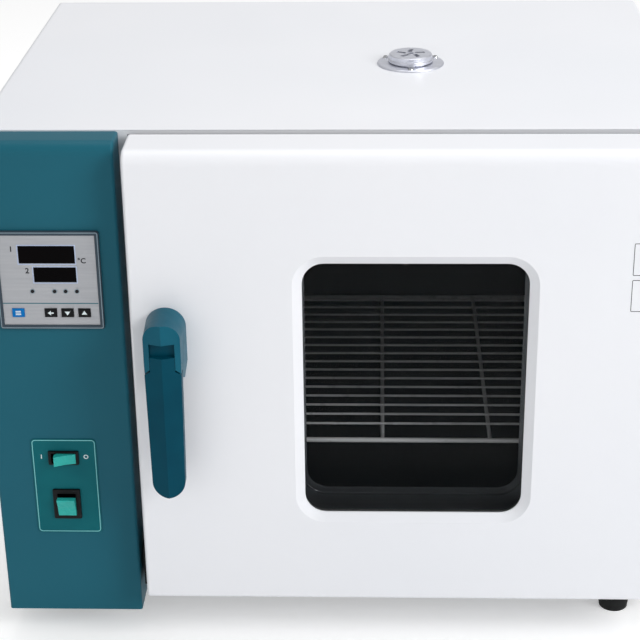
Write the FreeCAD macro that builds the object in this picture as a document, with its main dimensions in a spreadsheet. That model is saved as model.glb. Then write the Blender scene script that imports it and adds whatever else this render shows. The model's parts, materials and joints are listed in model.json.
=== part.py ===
import FreeCAD, Part
import math
import os

import Sketcher

# Laboratory convection oven: steel cabinet, insulated door on the right, teal control column on the left.
# Millimetres. X runs to the right, Y to the back, Z up. The origin is on the floor, under the middle.

# Driving dimensions, one row each: name, number, meaning.
SIZES = (
    ("cabinet_wide", 620.0, "casing, side to side"),
    ("cabinet_deep", 432.0, "casing, front plane to rear panel"),
    ("cabinet_high", 462.0, "casing, base to roof"),
    ("foot_high", 28.0, "rubber foot, floor to base"),
    ("foot_wide", 34.0, "rubber foot, diameter at the base"),
    ("foot_tread", 27.0, "rubber foot, diameter at the floor"),
    ("foot_inset", 46.0, "foot centre from the casing side"),
    ("foot_setback", 24.0, "foot centre from the front plane and from the rear"),
    ("metal", 1.2, "casing sheet thickness"),
    ("roof_bend", 6.0, "outer bend radius of the casing roof"),
    ("pan_rim", 14.0, "upturned rim of the base pan"),
    ("fit", 0.1, "clearance of a piece that is pressed or slid into its seat"),
    ("running", 0.3, "clearance of a piece that moves past another"),
    ("chamber_wide", 350.0, "heated space, side to side"),
    ("chamber_deep", 350.0, "heated space, mouth to duct plate"),
    ("chamber_high", 350.0, "heated space, floor to ceiling"),
    ("chamber_offset", -1.0, "middle of the chamber from the middle of the door"),
    ("chamber_lift", 63.0, "chamber floor above the casing base"),
    ("mouth_lip", 3.0, "chamber space starts this far behind the front plane"),
    ("mouth_round", 8.0, "corner radius of the chamber mouth"),
    ("liner", 1.0, "chamber sheet thickness"),
    ("wool", 36.0, "insulation thickness at sides and top"),
    ("rear_wool", 32.0, "insulation thickness behind the chamber"),
    ("fan_space", 32.0, "duct between duct plate and chamber back"),
    ("fascia_wide", 125.0, "control column, side to side"),
    ("fascia_proud", 33.5, "control column in front of the cabinet"),
    ("fascia_drop", 1.5, "top of the control column below the roof"),
    ("fascia_bend", 11.5, "outer bend at the top of the control column"),
    ("fascia_edge", 2.5, "edge radius of the control column"),
    ("skin", 1.5, "sheet thickness of the control column"),
    ("column_gap", 9.0, "space between the control column and the door"),
    ("door_thick", 50.0, "door, front to back"),
    ("door_drop", 2.0, "top of the door below the roof"),
    ("door_high", 431.0, "door, bottom to top"),
    ("door_gap", 6.0, "space between door and cabinet that the seal fills"),
    ("door_bend", 12.5, "outer bend at the top of the door"),
    ("door_edge", 3.0, "edge radius of the door"),
    ("door_skin", 1.2, "sheet thickness of the door"),
    ("lever_reach", 38.0, "front of the lever in front of the door"),
    ("louvre_reach", 4.0, "louvre hoods behind the rear panel"),
    ("window_wide", 192.5, "clear glass, side to side"),
    ("window_high", 242.0, "clear glass, bottom to top"),
    ("window_offset", 0.4, "middle of the window from the middle of the door"),
    ("window_lift", 210.6, "middle of the window above the door's lower edge"),
    ("window_round", 19.0, "corner radius of the clear glass"),
    ("bevel_wide", 8.2, "sloping edge around the window, seen from the front"),
    ("bevel_deep", 5.0, "sloping edge around the window, front to back"),
    ("window_lip", 6.0, "how far a frame covers the edge of a glass"),
    ("glass_thick", 4.0, "each pane"),
    ("seal_thick", 2.0, "silicone ring behind the outer pane"),
    ("gasket_wide", 13.0, "door seal, width of the ring"),
    ("gasket_out", 5.0, "door seal, from the chamber mouth"),
    ("lever_inset", 30.5, "middle of the door lever from the free side of the door"),
    ("base_top", 293.0, "top of the lever base above the door's lower edge"),
    ("base_wide", 34.8, "lever base at the door"),
    ("base_tall", 66.0, "lever base at the door, bottom to top"),
    ("base_plate", 10.0, "lever base, thickness left behind the lever"),
    ("cap_wide", 31.0, "front of the lever base"),
    ("cap_tall", 46.6, "front of the lever base, top to the ends of its prongs"),
    ("cap_round", 14.6, "top radius of the front of the lever base"),
    ("prong", 4.6, "thickness of each prong beside the lever"),
    ("recess_drop", 18.5, "top of the prong slot below the top of the base"),
    ("recess_high", 12.3, "open recess between the base's cap and the lever"),
    ("grip_long", 165.3, "lever, tip to the top of its base"),
    ("grip_wide", 31.5, "lever at its widest"),
    ("grip_tip", 28.0, "lever at its round tip"),
    ("grip_thick", 15.0, "lever, front to back"),
    ("grip_fall", 5.5, "how far the long side facets of the lever fall back"),
    ("base_side", 49.0, "lever base, straight sides, below its top"),
    ("base_end", 29.0, "lever base at the door, width of its lower end"),
    ("shoulder_rise", 4.0, "slant of the prong ends and of the lever's shoulders"),
    ("shoulder_gap", 1.5, "space between the prong ends and the lever, for its swing"),
    ("lever_clear", 0.6, "space behind the lever where it meets its base"),
    ("pivot_drop", 39.0, "lever pivot below the top of the base"),
    ("pivot_back", 8.0, "lever pivot behind the front of the lever"),
    ("pivot_pin", 3.0, "lever pin diameter"),
    ("nose_arm", 12.0, "height of the push nose above the pivot"),
    ("nose_round", 4.0, "radius of the push nose"),
    ("plunger_rod", 6.0, "push rod diameter"),
    ("plunger_head", 11.0, "push rod head diameter"),
    ("plunger_sink", 3.5, "counterbore for the push rod head"),
    ("bush_wall", 1.5, "wall of the tube around the push rod"),
    ("hinge_high", 52.0, "hinge, bottom to top"),
    ("hinge_inset", 46.0, "middle of each hinge from the door's end"),
    ("hinge_side", 6.0, "hinge axis from the door's right edge"),
    ("hinge_back", 6.0, "hinge axis inside the door's rear face"),
    ("knuckle_wide", 9.6, "hinge knuckle diameter"),
    ("hinge_pin", 4.0, "hinge pin diameter"),
    ("leaf", 1.5, "hinge leaf thickness"),
    ("leaf_wide", 36.0, "hinge leaf, length along the door"),
    ("magnet_wide", 12.0, "magnetic catch, width"),
    ("magnet_high", 42.0, "magnetic catch, height"),
    ("magnet_side", 26.0, "middle of the catches from the free side of the door"),
    ("magnet_inset", 56.0, "middle of each catch from the door's end"),
    ("strip_wide", 3.0, "door rest strip, width"),
    ("strip_reach", 26.0, "door rest strip, in front of the cabinet"),
    ("strip_high", 46.0, "door rest strip, height"),
    ("panel_inset", 63.2, "middle of the controls from the casing's left side"),
    ("controller_lift", 338.0, "middle of the controller above the casing base"),
    ("bezel_wide", 91.0, "controller bezel, outside"),
    ("bezel_thick", 3.2, "controller bezel in front of the column"),
    ("bezel_rim", 3.7, "controller bezel, width of the rim"),
    ("face_sink", 0.8, "controller face plate behind the bezel's front"),
    ("face_thick", 1.6, "controller face plate"),
    ("housing_wide", 79.0, "controller housing"),
    ("housing_deep", 72.0, "controller housing behind the face plate"),
    ("key_wide", 10.7, "controller key, width"),
    ("key_high", 8.0, "controller key, height"),
    ("key_out", 1.0, "controller key in front of the face plate"),
    ("key_flange", 0.9, "rim that keeps a key behind the plate"),
    ("key_travel", 0.6, "how far a key is pressed"),
    ("lamp_wide", 3.0, "indicator lamp diameter"),
    ("plate_wide", 59.0, "switch plate, width"),
    ("plate_high", 97.5, "switch plate, height"),
    ("plate_thick", 0.8, "switch plate, thickness"),
    ("switch_lift", 133.6, "middle of the switch plate above the casing base"),
    ("rocker_tilt", 18.0, "rocker, degrees from its middle position"),
    ("rocker_long", 20.4, "rocker, end to end"),
    ("rocker_rise", 4.4, "rocker ends in front of its pivot"),
    ("rocker_dip", 0.9, "hollow in the middle of a rocker"),
    ("rocker_gap", 0.9, "space at each end of a rocker"),
    ("rocker_deep", 1.8, "rocker pivot behind the front of its frame"),
    ("rocker_pin", 2.4, "rocker pivot pin diameter"),
    ("rocker_stub", 0.8, "rocker pivot pin, length at each side"),
    ("switch_rim", 2.2, "switch frame in front of the plate"),
    ("switch_deep", 18.0, "switch body behind the plate"),
    ("vent_ahead", 20.5, "middle of the roof vent ahead of the cabinet's middle plane"),
    ("vent_flange", 63.0, "roof vent flange diameter"),
    ("vent_rim", 1.8, "roof vent flange thickness"),
    ("vent_collar", 36.0, "fixed slotted collar of the vent"),
    ("vent_high", 10.0, "roof vent above the roof"),
    ("vent_cap", 42.0, "turning cap of the vent"),
    ("vent_bore", 30.0, "bore of the vent tube"),
    ("vent_wall", 1.0, "wall of the vent tube"),
    ("vent_slots", 5.0, "slots in the vent cap"),
    ("slot_wide", 4.2, "slot in the vent, width"),
    ("vent_eye", 3.0, "radius of the hole in the middle of the vent cap"),
    ("screw_ring", 27.3, "vent screws from the vent's middle"),
    ("screw_head", 5.6, "small screw head diameter"),
    ("screw_shank", 3.0, "small screw shank diameter"),
    ("shelf_rod", 4.5, "shelf frame rod diameter"),
    ("shelf_wire", 2.2, "shelf thin wire diameter"),
    ("shelf_front", 16.0, "shelf front rod behind the front plane"),
    ("shelf_deep", 325.0, "shelf, front rod to back rod"),
    ("shelf_side", 7.0, "shelf side rod from the chamber wall"),
    ("shelf_first", 27.0, "first thin wire behind the front rod"),
    ("shelf_pitch", 18.9, "thin wire to thin wire"),
    ("shelf_wires", 16.0, "number of thin wires"),
    ("shelf_cross", 99.2, "shelf cross rod to cross rod"),
    ("shelf_cross_x", -25.8, "middle cross rod from the middle of the chamber"),
    ("shelf_level", 1.0, "ledge that carries the shelf, counted from the lowest"),
    ("shelf_round", 10.0, "corner bend of the shelf frame"),
    ("rail_first", 30.0, "lowest shelf ledge above the chamber floor"),
    ("rail_pitch", 60.0, "ledge to ledge"),
    ("rail_count", 5.0, "number of ledges"),
    ("rail_wide", 12.0, "ledge width"),
    ("fan_wide", 120.0, "fan wheel diameter"),
    ("fan_deep", 18.0, "fan blade depth"),
    ("fan_blades", 8.0, "number of fan blades"),
    ("fan_axle", 6.0, "fan shaft diameter"),
    ("fan_back", 5.0, "fan disc ahead of the chamber back"),
    ("motor_wide", 58.0, "fan motor across its core"),
    ("motor_deep", 22.0, "fan motor, front to back"),
    ("motor_gap", 5.0, "motor behind the chamber back"),
    ("heater_half", 14.0, "each heater leg from the middle"),
    ("heater_ring", 80.0, "radius of the heating ring"),
    ("heater_tube", 8.0, "heating tube diameter"),
    ("duct_slots", 12.0, "slots around the duct plate's intake"),
    ("probe_wide", 5.0, "temperature probe diameter"),
    ("probe_long", 60.0, "temperature probe inside the chamber"),
    ("inlet_wide", 27.4, "power inlet opening, width"),
    ("inlet_high", 20.4, "power inlet opening, height"),
    ("earth_stud", 5.0, "earth stud diameter"),
    ("louvre_long", 84.0, "louvre, side to side"),
    ("louvre_pitch", 15.0, "louvre to louvre"),
    ("louvre_count", 6.0, "louvres in one column"),
)


class Size:
    """A length that carries its number and the sheet expression it is worked out from."""

    def __init__(self, number, text):
        self.number = float(number)
        self.text = text

    def __add__(self, other):
        other = as_size(other)
        return Size(self.number + other.number, "(" + self.text + " + " + other.text + ")")

    def __radd__(self, other):
        return as_size(other) + self

    def __sub__(self, other):
        other = as_size(other)
        return Size(self.number - other.number, "(" + self.text + " - " + other.text + ")")

    def __rsub__(self, other):
        return as_size(other) - self

    def __mul__(self, other):
        other = as_size(other)
        return Size(self.number * other.number, "(" + self.text + " * " + other.text + ")")

    def __rmul__(self, other):
        return as_size(other) * self

    def __truediv__(self, other):
        other = as_size(other)
        return Size(self.number / other.number, "(" + self.text + " / " + other.text + ")")

    def __neg__(self):
        return Size(-self.number, "(0 - " + self.text + ")")


def as_size(value):
    if isinstance(value, Size):
        return value
    return Size(value, repr(float(value)))


class Sheet:
    """The driving dimensions: one attribute for each row of the sheet."""


doc = FreeCAD.newDocument("convection_oven")
cells = doc.addObject("Spreadsheet::Sheet", "Sizes")
S = Sheet()
for row, (name, number, meaning) in enumerate(SIZES, 1):
    cells.set("A%d" % row, meaning)
    cells.set("B%d" % row, str(number))
    cells.setAlias("B%d" % row, name)
    setattr(S, name, Size(number, "Sizes." + name))
doc.recompute()


# Modelling helpers

def bind(thing, prop, value):
    """Sets a property's number and ties it to the sheet."""
    size = as_size(value)
    if prop == "Occurrences":
        thing.Occurrences = int(size.number)
    elif "." not in prop:
        setattr(thing, prop, size.number)
    thing.setExpression(prop, size.text)


def place(thing, x, y, z, rotation=None):
    if rotation is not None:
        thing.Placement = FreeCAD.Placement(FreeCAD.Vector(), rotation)
    for axis, value in zip("xyz", (x, y, z)):
        bind(thing, "Placement.Base." + axis, value)
    return thing


def block(x0, x1, y0, y1, z0, z1, label="block"):
    solid = doc.addObject("Part::Box", label)
    bind(solid, "Length", x1 - as_size(x0))
    bind(solid, "Width", y1 - as_size(y0))
    bind(solid, "Height", z1 - as_size(z0))
    return place(solid, x0, y0, z0)


TURN = {
    "x": FreeCAD.Rotation(FreeCAD.Vector(0, 1, 0), 90),
    "y": FreeCAD.Rotation(FreeCAD.Vector(1, 0, 0), -90),
    "z": FreeCAD.Rotation(),
}


def rod(axis, x, y, z, radius, length, label="rod"):
    """A cylinder from (x, y, z) towards + on the named axis."""
    solid = doc.addObject("Part::Cylinder", label)
    bind(solid, "Radius", radius)
    bind(solid, "Height", length)
    return place(solid, x, y, z, TURN[axis])


def cone(x, y, z, low_radius, high_radius, height, label="cone"):
    solid = doc.addObject("Part::Cone", label)
    bind(solid, "Radius1", low_radius)
    bind(solid, "Radius2", high_radius)
    bind(solid, "Height", height)
    return place(solid, x, y, z)


def join(label, parts):
    solid = doc.addObject("Part::MultiFuse", label)
    solid.Shapes = list(parts)
    return named(solid, label)


def cut(label, base, tools):
    solid = doc.addObject("Part::Cut", label)
    solid.Base = base
    solid.Tool = tools[0] if len(tools) == 1 else join(label + "_tools", tools)
    return named(solid, label)


def group(label, parts):
    """Several separate solids of one kind in one sub-part."""
    solids = doc.addObject("Part::Compound", label)
    solids.Links = list(parts)
    return named(solids, label)


def named(thing, label):
    thing.Label = label
    return thing


def new_body(label):
    return named(doc.addObject("PartDesign::Body", label), label)


NORMAL = {"XY": 1.0, "XZ": -1.0, "YZ": 1.0}


def sketch(body, plane, at):
    """A sketch parallel to one of the body's own planes, at a place along that plane's axis."""
    flat = body.newObject("Sketcher::SketchObject", "sketch")
    for feature in body.Origin.OriginFeatures:
        if feature.Role == plane + "_Plane":
            flat.AttachmentSupport = [(feature, "")]
    flat.MapMode = "FlatFace"
    bind(flat, "AttachmentOffset.Base.z", as_size(at) * NORMAL[plane])
    return flat


def dimension(flat, sizes):
    """Adds dimensions to a sketch in one step, each tied to the sheet."""
    first = flat.ConstraintCount
    flat.addConstraint([Sketcher.Constraint(kind, *where, size.number) for kind, where, size in sizes])
    for i, (kind, where, size) in enumerate(sizes):
        flat.setExpression("Constraints[%d]" % (first + i), size.text)


def circle(flat, x, y, radius):
    x, y, radius = as_size(x), as_size(y), as_size(radius)
    centre = FreeCAD.Vector(x.number, y.number, 0)
    ring = flat.addGeometry(Part.Circle(centre, FreeCAD.Vector(0, 0, 1), radius.number), False)
    dimension(flat, [
        ("Radius", (ring,), radius), ("DistanceX", (-1, 1, ring, 3), x), ("DistanceY", (-1, 1, ring, 3), y)])


def outline(flat, corners):
    """A closed outline of straight sides. A corner is (x, y) or (x, y, bend radius)."""
    corners = [tuple(as_size(value) for value in corner) for corner in corners]
    points = [FreeCAD.Vector(corner[0].number, corner[1].number, 0) for corner in corners]
    count = len(points)
    starts = list(points)
    ends = list(points)
    bends = [i for i in range(count) if len(corners[i]) == 3]
    arcs = []
    left_turns = []
    for i in bends:
        before = (points[i - 1] - points[i]).normalize()
        after = (points[(i + 1) % count] - points[i]).normalize()
        half_angle = before.getAngle(after) / 2
        radius = corners[i][2].number
        starts[i] = points[i] + before * (radius / math.tan(half_angle))
        ends[i] = points[i] + after * (radius / math.tan(half_angle))
        inward = (before + after).normalize()
        middle = points[i] + inward * (radius / math.sin(half_angle) - radius)
        arcs.append(Part.Arc(starts[i], middle, ends[i]))
        left_turns.append(before.cross(after).z < 0)
    sides = [Part.LineSegment(ends[i], starts[(i + 1) % count]) for i in range(count)]
    first_side = flat.GeometryCount
    first_arc = first_side + count
    first_mark = first_arc + len(bends)
    flat.addGeometry(sides + arcs, False)
    if bends:
        flat.addGeometry([Part.Point(points[i]) for i in bends], True)
    rules = []
    sizes = []
    for i in range(count):
        into = first_side + (i - 1) % count
        out = first_side + i
        if i not in bends:
            rules.append(Sketcher.Constraint("Coincident", into, 2, out, 1))
            corner = out
        else:
            arc = first_arc + bends.index(i)
            corner = first_mark + bends.index(i)
            near, far = (1, 2) if left_turns[bends.index(i)] else (2, 1)
            rules.append(Sketcher.Constraint("Tangent", into, 2, arc, near))
            rules.append(Sketcher.Constraint("Tangent", arc, far, out, 1))
            rules.append(Sketcher.Constraint("PointOnObject", corner, 1, into))
            rules.append(Sketcher.Constraint("PointOnObject", corner, 1, out))
            sizes.append(("Radius", (arc,), corners[i][2]))
        sizes.append(("DistanceX", (-1, 1, corner, 1), corners[i][0]))
        sizes.append(("DistanceY", (-1, 1, corner, 1), corners[i][1]))
    flat.addConstraint(rules)
    dimension(flat, sizes)


def rectangle(x0, x1, y0, y1, *bend):
    return [(x0, y0, *bend), (x0, y1, *bend), (x1, y1, *bend), (x1, y0, *bend)]


def centred(x, y, wide, high, *bend):
    return rectangle(x - wide / 2, x + wide / 2, y - high / 2, y + high / 2, *bend)


def pad(body, flat, length, backwards=False):
    feature = body.newObject("PartDesign::Pad", "pad")
    feature.Profile = flat
    bind(feature, "Length", length)
    feature.Reversed = backwards
    doc.recompute()
    return feature


def pocket(body, flat, depth, backwards=False):
    """Cuts away from the sketch's normal, and stops the script if nothing was cut."""
    before = body.Shape.Volume
    feature = body.newObject("PartDesign::Pocket", "pocket")
    feature.Profile = flat
    bind(feature, "Length", depth)
    feature.Reversed = backwards
    doc.recompute()
    if body.Shape.Volume > before - 1e-6:
        raise ValueError(body.Label + ": a pocket cut nothing")
    return feature


def origin_line(body, role):
    for line in body.Origin.OriginFeatures:
        if line.Role == role:
            return (line, [""])


def revolve(body, flat):
    feature = body.newObject("PartDesign::Revolution", "revolution")
    feature.Profile = flat
    feature.ReferenceAxis = origin_line(body, "Z_Axis")
    feature.Angle = 360
    doc.recompute()
    return feature


def polar(body, features, count, axis_role):
    feature = body.newObject("PartDesign::PolarPattern", "polar")
    feature.Originals = list(features)
    feature.Axis = origin_line(body, axis_role)
    feature.Angle = 360
    bind(feature, "Occurrences", count)
    body.Tip = feature
    doc.recompute()
    return feature


def linear(body, features, pitch, count, axis_role):
    feature = body.newObject("PartDesign::LinearPattern", "linear")
    feature.Originals = list(features)
    feature.Direction = origin_line(body, axis_role)
    bind(feature, "Length", pitch * (count - 1))
    bind(feature, "Occurrences", count)
    body.Tip = feature
    doc.recompute()
    return feature


def round_edges(body, radius, wanted):
    """Rounds every edge of the body that the function picks."""
    edges = ["Edge%d" % (i + 1) for i, edge in enumerate(body.Shape.Edges) if wanted(edge)]
    rounded = body.Tip
    feature = body.newObject("PartDesign::Fillet", "rounding")
    feature.Base = (rounded, edges)
    bind(feature, "Radius", radius)
    doc.recompute()
    return feature


def lies_at(edge, axis, value):
    """True for an edge that lies in the plane axis = value."""
    box = edge.BoundBox
    low = getattr(box, axis + "Min")
    high = getattr(box, axis + "Max")
    return abs(low - value.number) < 1e-4 and abs(high - value.number) < 1e-4


# Places worked out from the driving dimensions

half = S.cabinet_wide / 2
overall_deep = S.lever_reach + S.door_thick + S.door_gap + S.cabinet_deep + S.louvre_reach
front = S.lever_reach + S.door_thick + S.door_gap - overall_deep / 2
rear = front + S.cabinet_deep
base = S.foot_high
roof = base + S.cabinet_high
door_rear = front - S.door_gap
door_front = door_rear - S.door_thick
door_top = roof - S.door_drop
door_base = door_top - S.door_high
door_right = half
door_wide = S.cabinet_wide - S.fascia_wide - S.column_gap
door_left = door_right - door_wide
door_middle = door_right - door_wide / 2
chamber_x = door_middle + S.chamber_offset
window_x = door_middle + S.window_offset
lever_x = door_left + S.lever_inset
magnet_x = door_left + S.magnet_side

chamber_left = chamber_x - S.chamber_wide / 2
chamber_right = chamber_x + S.chamber_wide / 2
chamber_floor = base + S.chamber_lift
chamber_top = chamber_floor + S.chamber_high
chamber_back = front + S.mouth_lip + S.chamber_deep
liner_back = chamber_back + S.fan_space + S.liner
chamber_mid = chamber_floor + S.chamber_high / 2
wall_right = chamber_left - S.liner - S.wool
probe_y = chamber_back - 70.0
probe_z = chamber_top - 40.0
heater_foot = chamber_mid - S.heater_ring
heater_legs = (chamber_x - S.heater_half, chamber_x + S.heater_half)

fascia_left = -half
fascia_right = fascia_left + S.fascia_wide
fascia_front = front - S.fascia_proud
fascia_top = roof - S.fascia_drop
panel_x = fascia_left + S.panel_inset
controller_z = base + S.controller_lift
switch_z = base + S.switch_lift
face_front = fascia_front - S.bezel_thick + S.face_sink
face_back = face_front + S.face_thick

window_z = door_base + S.window_lift
glass_seat = door_front + S.bevel_deep + S.door_skin
tunnel_front = glass_seat + S.glass_thick + S.seal_thick
pan_front = door_rear - S.metal
vent_y = front + S.cabinet_deep / 2 - S.vent_ahead

lever_top = door_base + S.base_top
lever_front = door_front - S.lever_reach
prong_end = lever_top - S.cap_tall
pivot_z = lever_top - S.pivot_drop
pivot_y = lever_front + S.pivot_back
plunger_z = pivot_z + S.nose_arm
nose_y = pivot_y + 3.0
slot_back = door_front - S.base_plate
slot_wide = S.cap_wide - 2 * S.prong
bush_radius = S.plunger_rod / 2 + S.running + S.bush_wall

hinge_x = door_right - S.hinge_side
hinge_y = door_rear - S.hinge_back
hinge_heights = (door_base + S.hinge_inset, door_top - S.hinge_inset)
notch_x = hinge_x - S.knuckle_wide / 2 - 1.0
notch_y = hinge_y - S.knuckle_wide / 2 - 1.2
magnet_heights = (door_base + S.magnet_inset, door_top - S.magnet_inset)

inlet_x = fascia_left + 66.0
inlet_z = base + 62.0
earth_x = inlet_x + 52.0


def vent_screw_places():
    """Three screws on a circle, one of them at the front, from the vent's middle."""
    places = []
    for angle in (30, 150, 270):
        turn = math.radians(angle)
        places.append((S.screw_ring * math.cos(turn), S.screw_ring * math.sin(turn)))
    return places


def foot_places():
    sides = (S.foot_inset - half, half - S.foot_inset)
    return [(x, y) for x in sides for y in (front + S.foot_setback, rear - S.foot_setback)]


def rear_screw_places():
    left, right = S.metal - half + 12.0, half - S.metal - 12.0
    low, high = base + S.pan_rim + 6.0, roof - S.metal - 12.0
    middle = base + S.cabinet_high / 2
    centre = as_size(0.0)
    return [(left, low), (left, middle), (left, high), (centre, low), (centre, high),
            (right, low), (right, middle), (right, high)]


# Cabinet shell

def make_outer_casing():
    body = new_body("outer_casing")
    flat = sketch(body, "XZ", front)
    inner = S.roof_bend - S.metal
    outline(flat, [
        (-half, base), (-half, roof, S.roof_bend), (half, roof, S.roof_bend), (half, base),
        (half - S.metal, base), (half - S.metal, roof - S.metal, inner),
        (S.metal - half, roof - S.metal, inner), (S.metal - half, base)])
    pad(body, flat, S.cabinet_deep, backwards=True)
    holes = sketch(body, "XY", roof)
    circle(holes, chamber_x, vent_y, S.vent_bore / 2 + S.vent_wall + S.fit)
    for x, y in vent_screw_places():
        circle(holes, chamber_x + x, vent_y + y, S.screw_shank / 2)
    pocket(body, holes, S.metal)


def make_base_pan():
    body = new_body("base_pan")
    left, right = S.metal - half, half - S.metal
    near, far = front + S.metal, rear - S.metal
    flat = sketch(body, "XY", base)
    outline(flat, rectangle(left, right, near, far))
    pad(body, flat, S.pan_rim)
    well = sketch(body, "XY", base + S.pan_rim)
    outline(well, rectangle(left + S.metal, right - S.metal, near + S.metal, far - S.metal))
    pocket(body, well, S.pan_rim - S.metal)
    bolts = sketch(body, "XY", base + S.metal)
    for x, y in foot_places():
        circle(bolts, x, y, S.screw_shank)
    pocket(body, bolts, S.metal)


def make_rubber_feet():
    feet = []
    for i, (x, y) in enumerate(foot_places(), 1):
        foot = cone(x, y, 0, S.foot_tread / 2, S.foot_wide / 2, S.foot_high, "foot_cone_%d" % i)
        bolt = rod("z", x, y, base, S.screw_shank, S.metal * 3, "foot_bolt_%d" % i)
        feet.append(join("foot_%d" % i, [foot, bolt]))
    group("rubber_feet", feet)


def louvres(body, x0, z0):
    """A column of pressed louvre hoods, open at the bottom."""
    lip = S.metal * 0.75
    hood = sketch(body, "YZ", x0)
    outline(hood, [
        (rear, z0), (rear + S.louvre_reach, z0),
        (rear + S.louvre_reach, z0 + 2.0), (rear, z0 + 9.0)])
    outer = pad(body, hood, S.louvre_long)
    mouth = sketch(body, "YZ", x0 + lip)
    outline(mouth, [
        (rear - S.metal, z0), (rear + S.louvre_reach - lip, z0),
        (rear + S.louvre_reach - lip, z0 + 1.6), (rear - S.metal, z0 + 8.0)])
    inner = pocket(body, mouth, S.louvre_long - 2 * lip, backwards=True)
    linear(body, [outer, inner], S.louvre_pitch, S.louvre_count, "Z_Axis")


def end_panel(flat):
    """Outline of a flat panel that fits inside the casing."""
    inner = S.roof_bend - S.metal
    outline(flat, [
        (S.metal - half, base), (S.metal - half, roof - S.metal, inner),
        (half - S.metal, roof - S.metal, inner), (half - S.metal, base)])


def make_rear_panel():
    body = new_body("rear_panel")
    flat = sketch(body, "XZ", rear - S.metal)
    end_panel(flat)
    outline(flat, centred(inlet_x, inlet_z, S.inlet_wide, S.inlet_high))
    circle(flat, earth_x, inlet_z, S.earth_stud / 2)
    for x, z in rear_screw_places():
        circle(flat, x, z, S.screw_shank / 2)
    pad(body, flat, S.metal, backwards=True)
    louvres(body, fascia_left + 20.0, base + 150.0)
    louvres(body, chamber_x - S.louvre_long / 2, base + 150.0)
    louvres(body, fascia_left + 20.0, base + 330.0)


def make_rear_panel_screws():
    screws = []
    for i, (x, z) in enumerate(rear_screw_places(), 1):
        head = rod("y", x, rear, z, S.screw_head / 2, 1.8, "rear_head_%d" % i)
        shank = rod("y", x, rear - S.metal * 3, z, S.screw_shank / 2, S.metal * 3, "rear_shank_%d" % i)
        screws.append(join("rear_screw_%d" % i, [head, shank]))
    group("rear_panel_screws", screws)


def make_front_frame():
    body = new_body("front_frame")
    flat = sketch(body, "XZ", front)
    end_panel(flat)
    outline(flat, rectangle(chamber_left, chamber_right, chamber_floor, chamber_top, S.mouth_round))
    outline(flat, rectangle(fascia_left + 14.0, fascia_right - 12.0, base + 30.0, roof - 30.0, 4.0))
    pad(body, flat, S.metal, backwards=True)


def make_inner_chamber():
    body = new_body("inner_chamber")
    mouth = front + S.metal
    left, right = chamber_left - S.liner, chamber_right + S.liner
    floor, top = chamber_floor - S.liner, chamber_top + S.liner
    flat = sketch(body, "XZ", mouth)
    outline(flat, rectangle(left, right, floor, top, S.mouth_round + S.liner))
    pad(body, flat, liner_back - mouth, backwards=True)
    space = sketch(body, "XZ", mouth)
    outline(space, rectangle(chamber_left, chamber_right, chamber_floor, chamber_top, S.mouth_round))
    pocket(body, space, liner_back - S.liner - mouth)
    holes = sketch(body, "XZ", liner_back - S.liner)
    circle(holes, chamber_x, chamber_mid, S.fan_axle / 2 + 1.5)
    for x in heater_legs:
        circle(holes, x, heater_foot, S.heater_tube / 2)
    pocket(body, holes, S.liner)
    vent = sketch(body, "XY", top)
    circle(vent, chamber_x, vent_y, S.vent_bore / 2 + S.vent_wall)
    pocket(body, vent, S.liner)
    probe = sketch(body, "YZ", chamber_left)
    circle(probe, probe_y, probe_z, S.probe_wide / 2)
    pocket(body, probe, S.liner)


def make_bolt_ways():
    """Room in the wool for the bolts of the feet on the chamber's side."""
    reach = S.metal * 3 + 0.2
    return [
        rod("z", x, y, base, S.screw_shank + S.running, reach, "bolt_way")
        for x, y in foot_places() if x.number > 0]


def make_insulation_blocks():
    left, right = chamber_left - S.liner, chamber_right + S.liner
    floor, top = chamber_floor - S.liner, chamber_top + S.liner
    near = front + 2 * S.metal
    pan = base + S.metal
    lower = block(left, right, near, liner_back, pan, floor, "wool_floor")
    slab_left = block(left - S.wool, left, near, liner_back, pan, top + S.wool, "slab_left")
    probe_way = rod("x", left - S.wool - 1, probe_y, probe_z, S.probe_wide / 2, S.wool + 2, "probe_way")
    side_left = cut("wool_left", slab_left, [probe_way])
    slab_right = block(right, right + S.wool, near, liner_back, pan, top + S.wool, "slab_right")
    side_right = cut("wool_right", slab_right, make_bolt_ways())
    slab_top = block(left, right, near, liner_back, top, top + S.wool, "slab_top")
    collar = S.vent_bore / 2 + S.vent_wall + 4.0
    vent_way = rod("z", chamber_x, vent_y, top - 1, collar, S.wool + 2, "vent_way")
    upper = cut("wool_top", slab_top, [vent_way])
    deep = S.rear_wool + 2
    ways = [rod("y", chamber_x, liner_back - 1, chamber_mid, S.motor_wide * 0.75, deep, "motor_way")]
    for x in heater_legs:
        ways.append(rod("y", x, liner_back - 1, heater_foot, S.heater_tube / 2, deep, "heater_way"))
    slab = block(
        left - S.wool, right + S.wool, liner_back, liner_back + S.rear_wool, pan, top + S.wool, "slab_rear")
    behind = cut("wool_rear", slab, ways + make_bolt_ways())
    group("insulation_blocks", [lower, side_left, side_right, upper, behind])


def make_compartment_wall():
    near, far = front + 2 * S.metal, rear - 2 * S.metal
    wall = block(wall_right - S.metal, wall_right, near, far, base + S.metal, roof - S.metal, "wall_sheet")
    way = rod("x", wall_right - S.metal * 2, probe_y, probe_z, S.probe_wide / 2, S.metal * 3, "wall_way")
    cut("compartment_wall", wall, [way])


# Chamber fittings

def ledge_height(index):
    return chamber_floor + S.rail_first + S.rail_pitch * index


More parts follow.
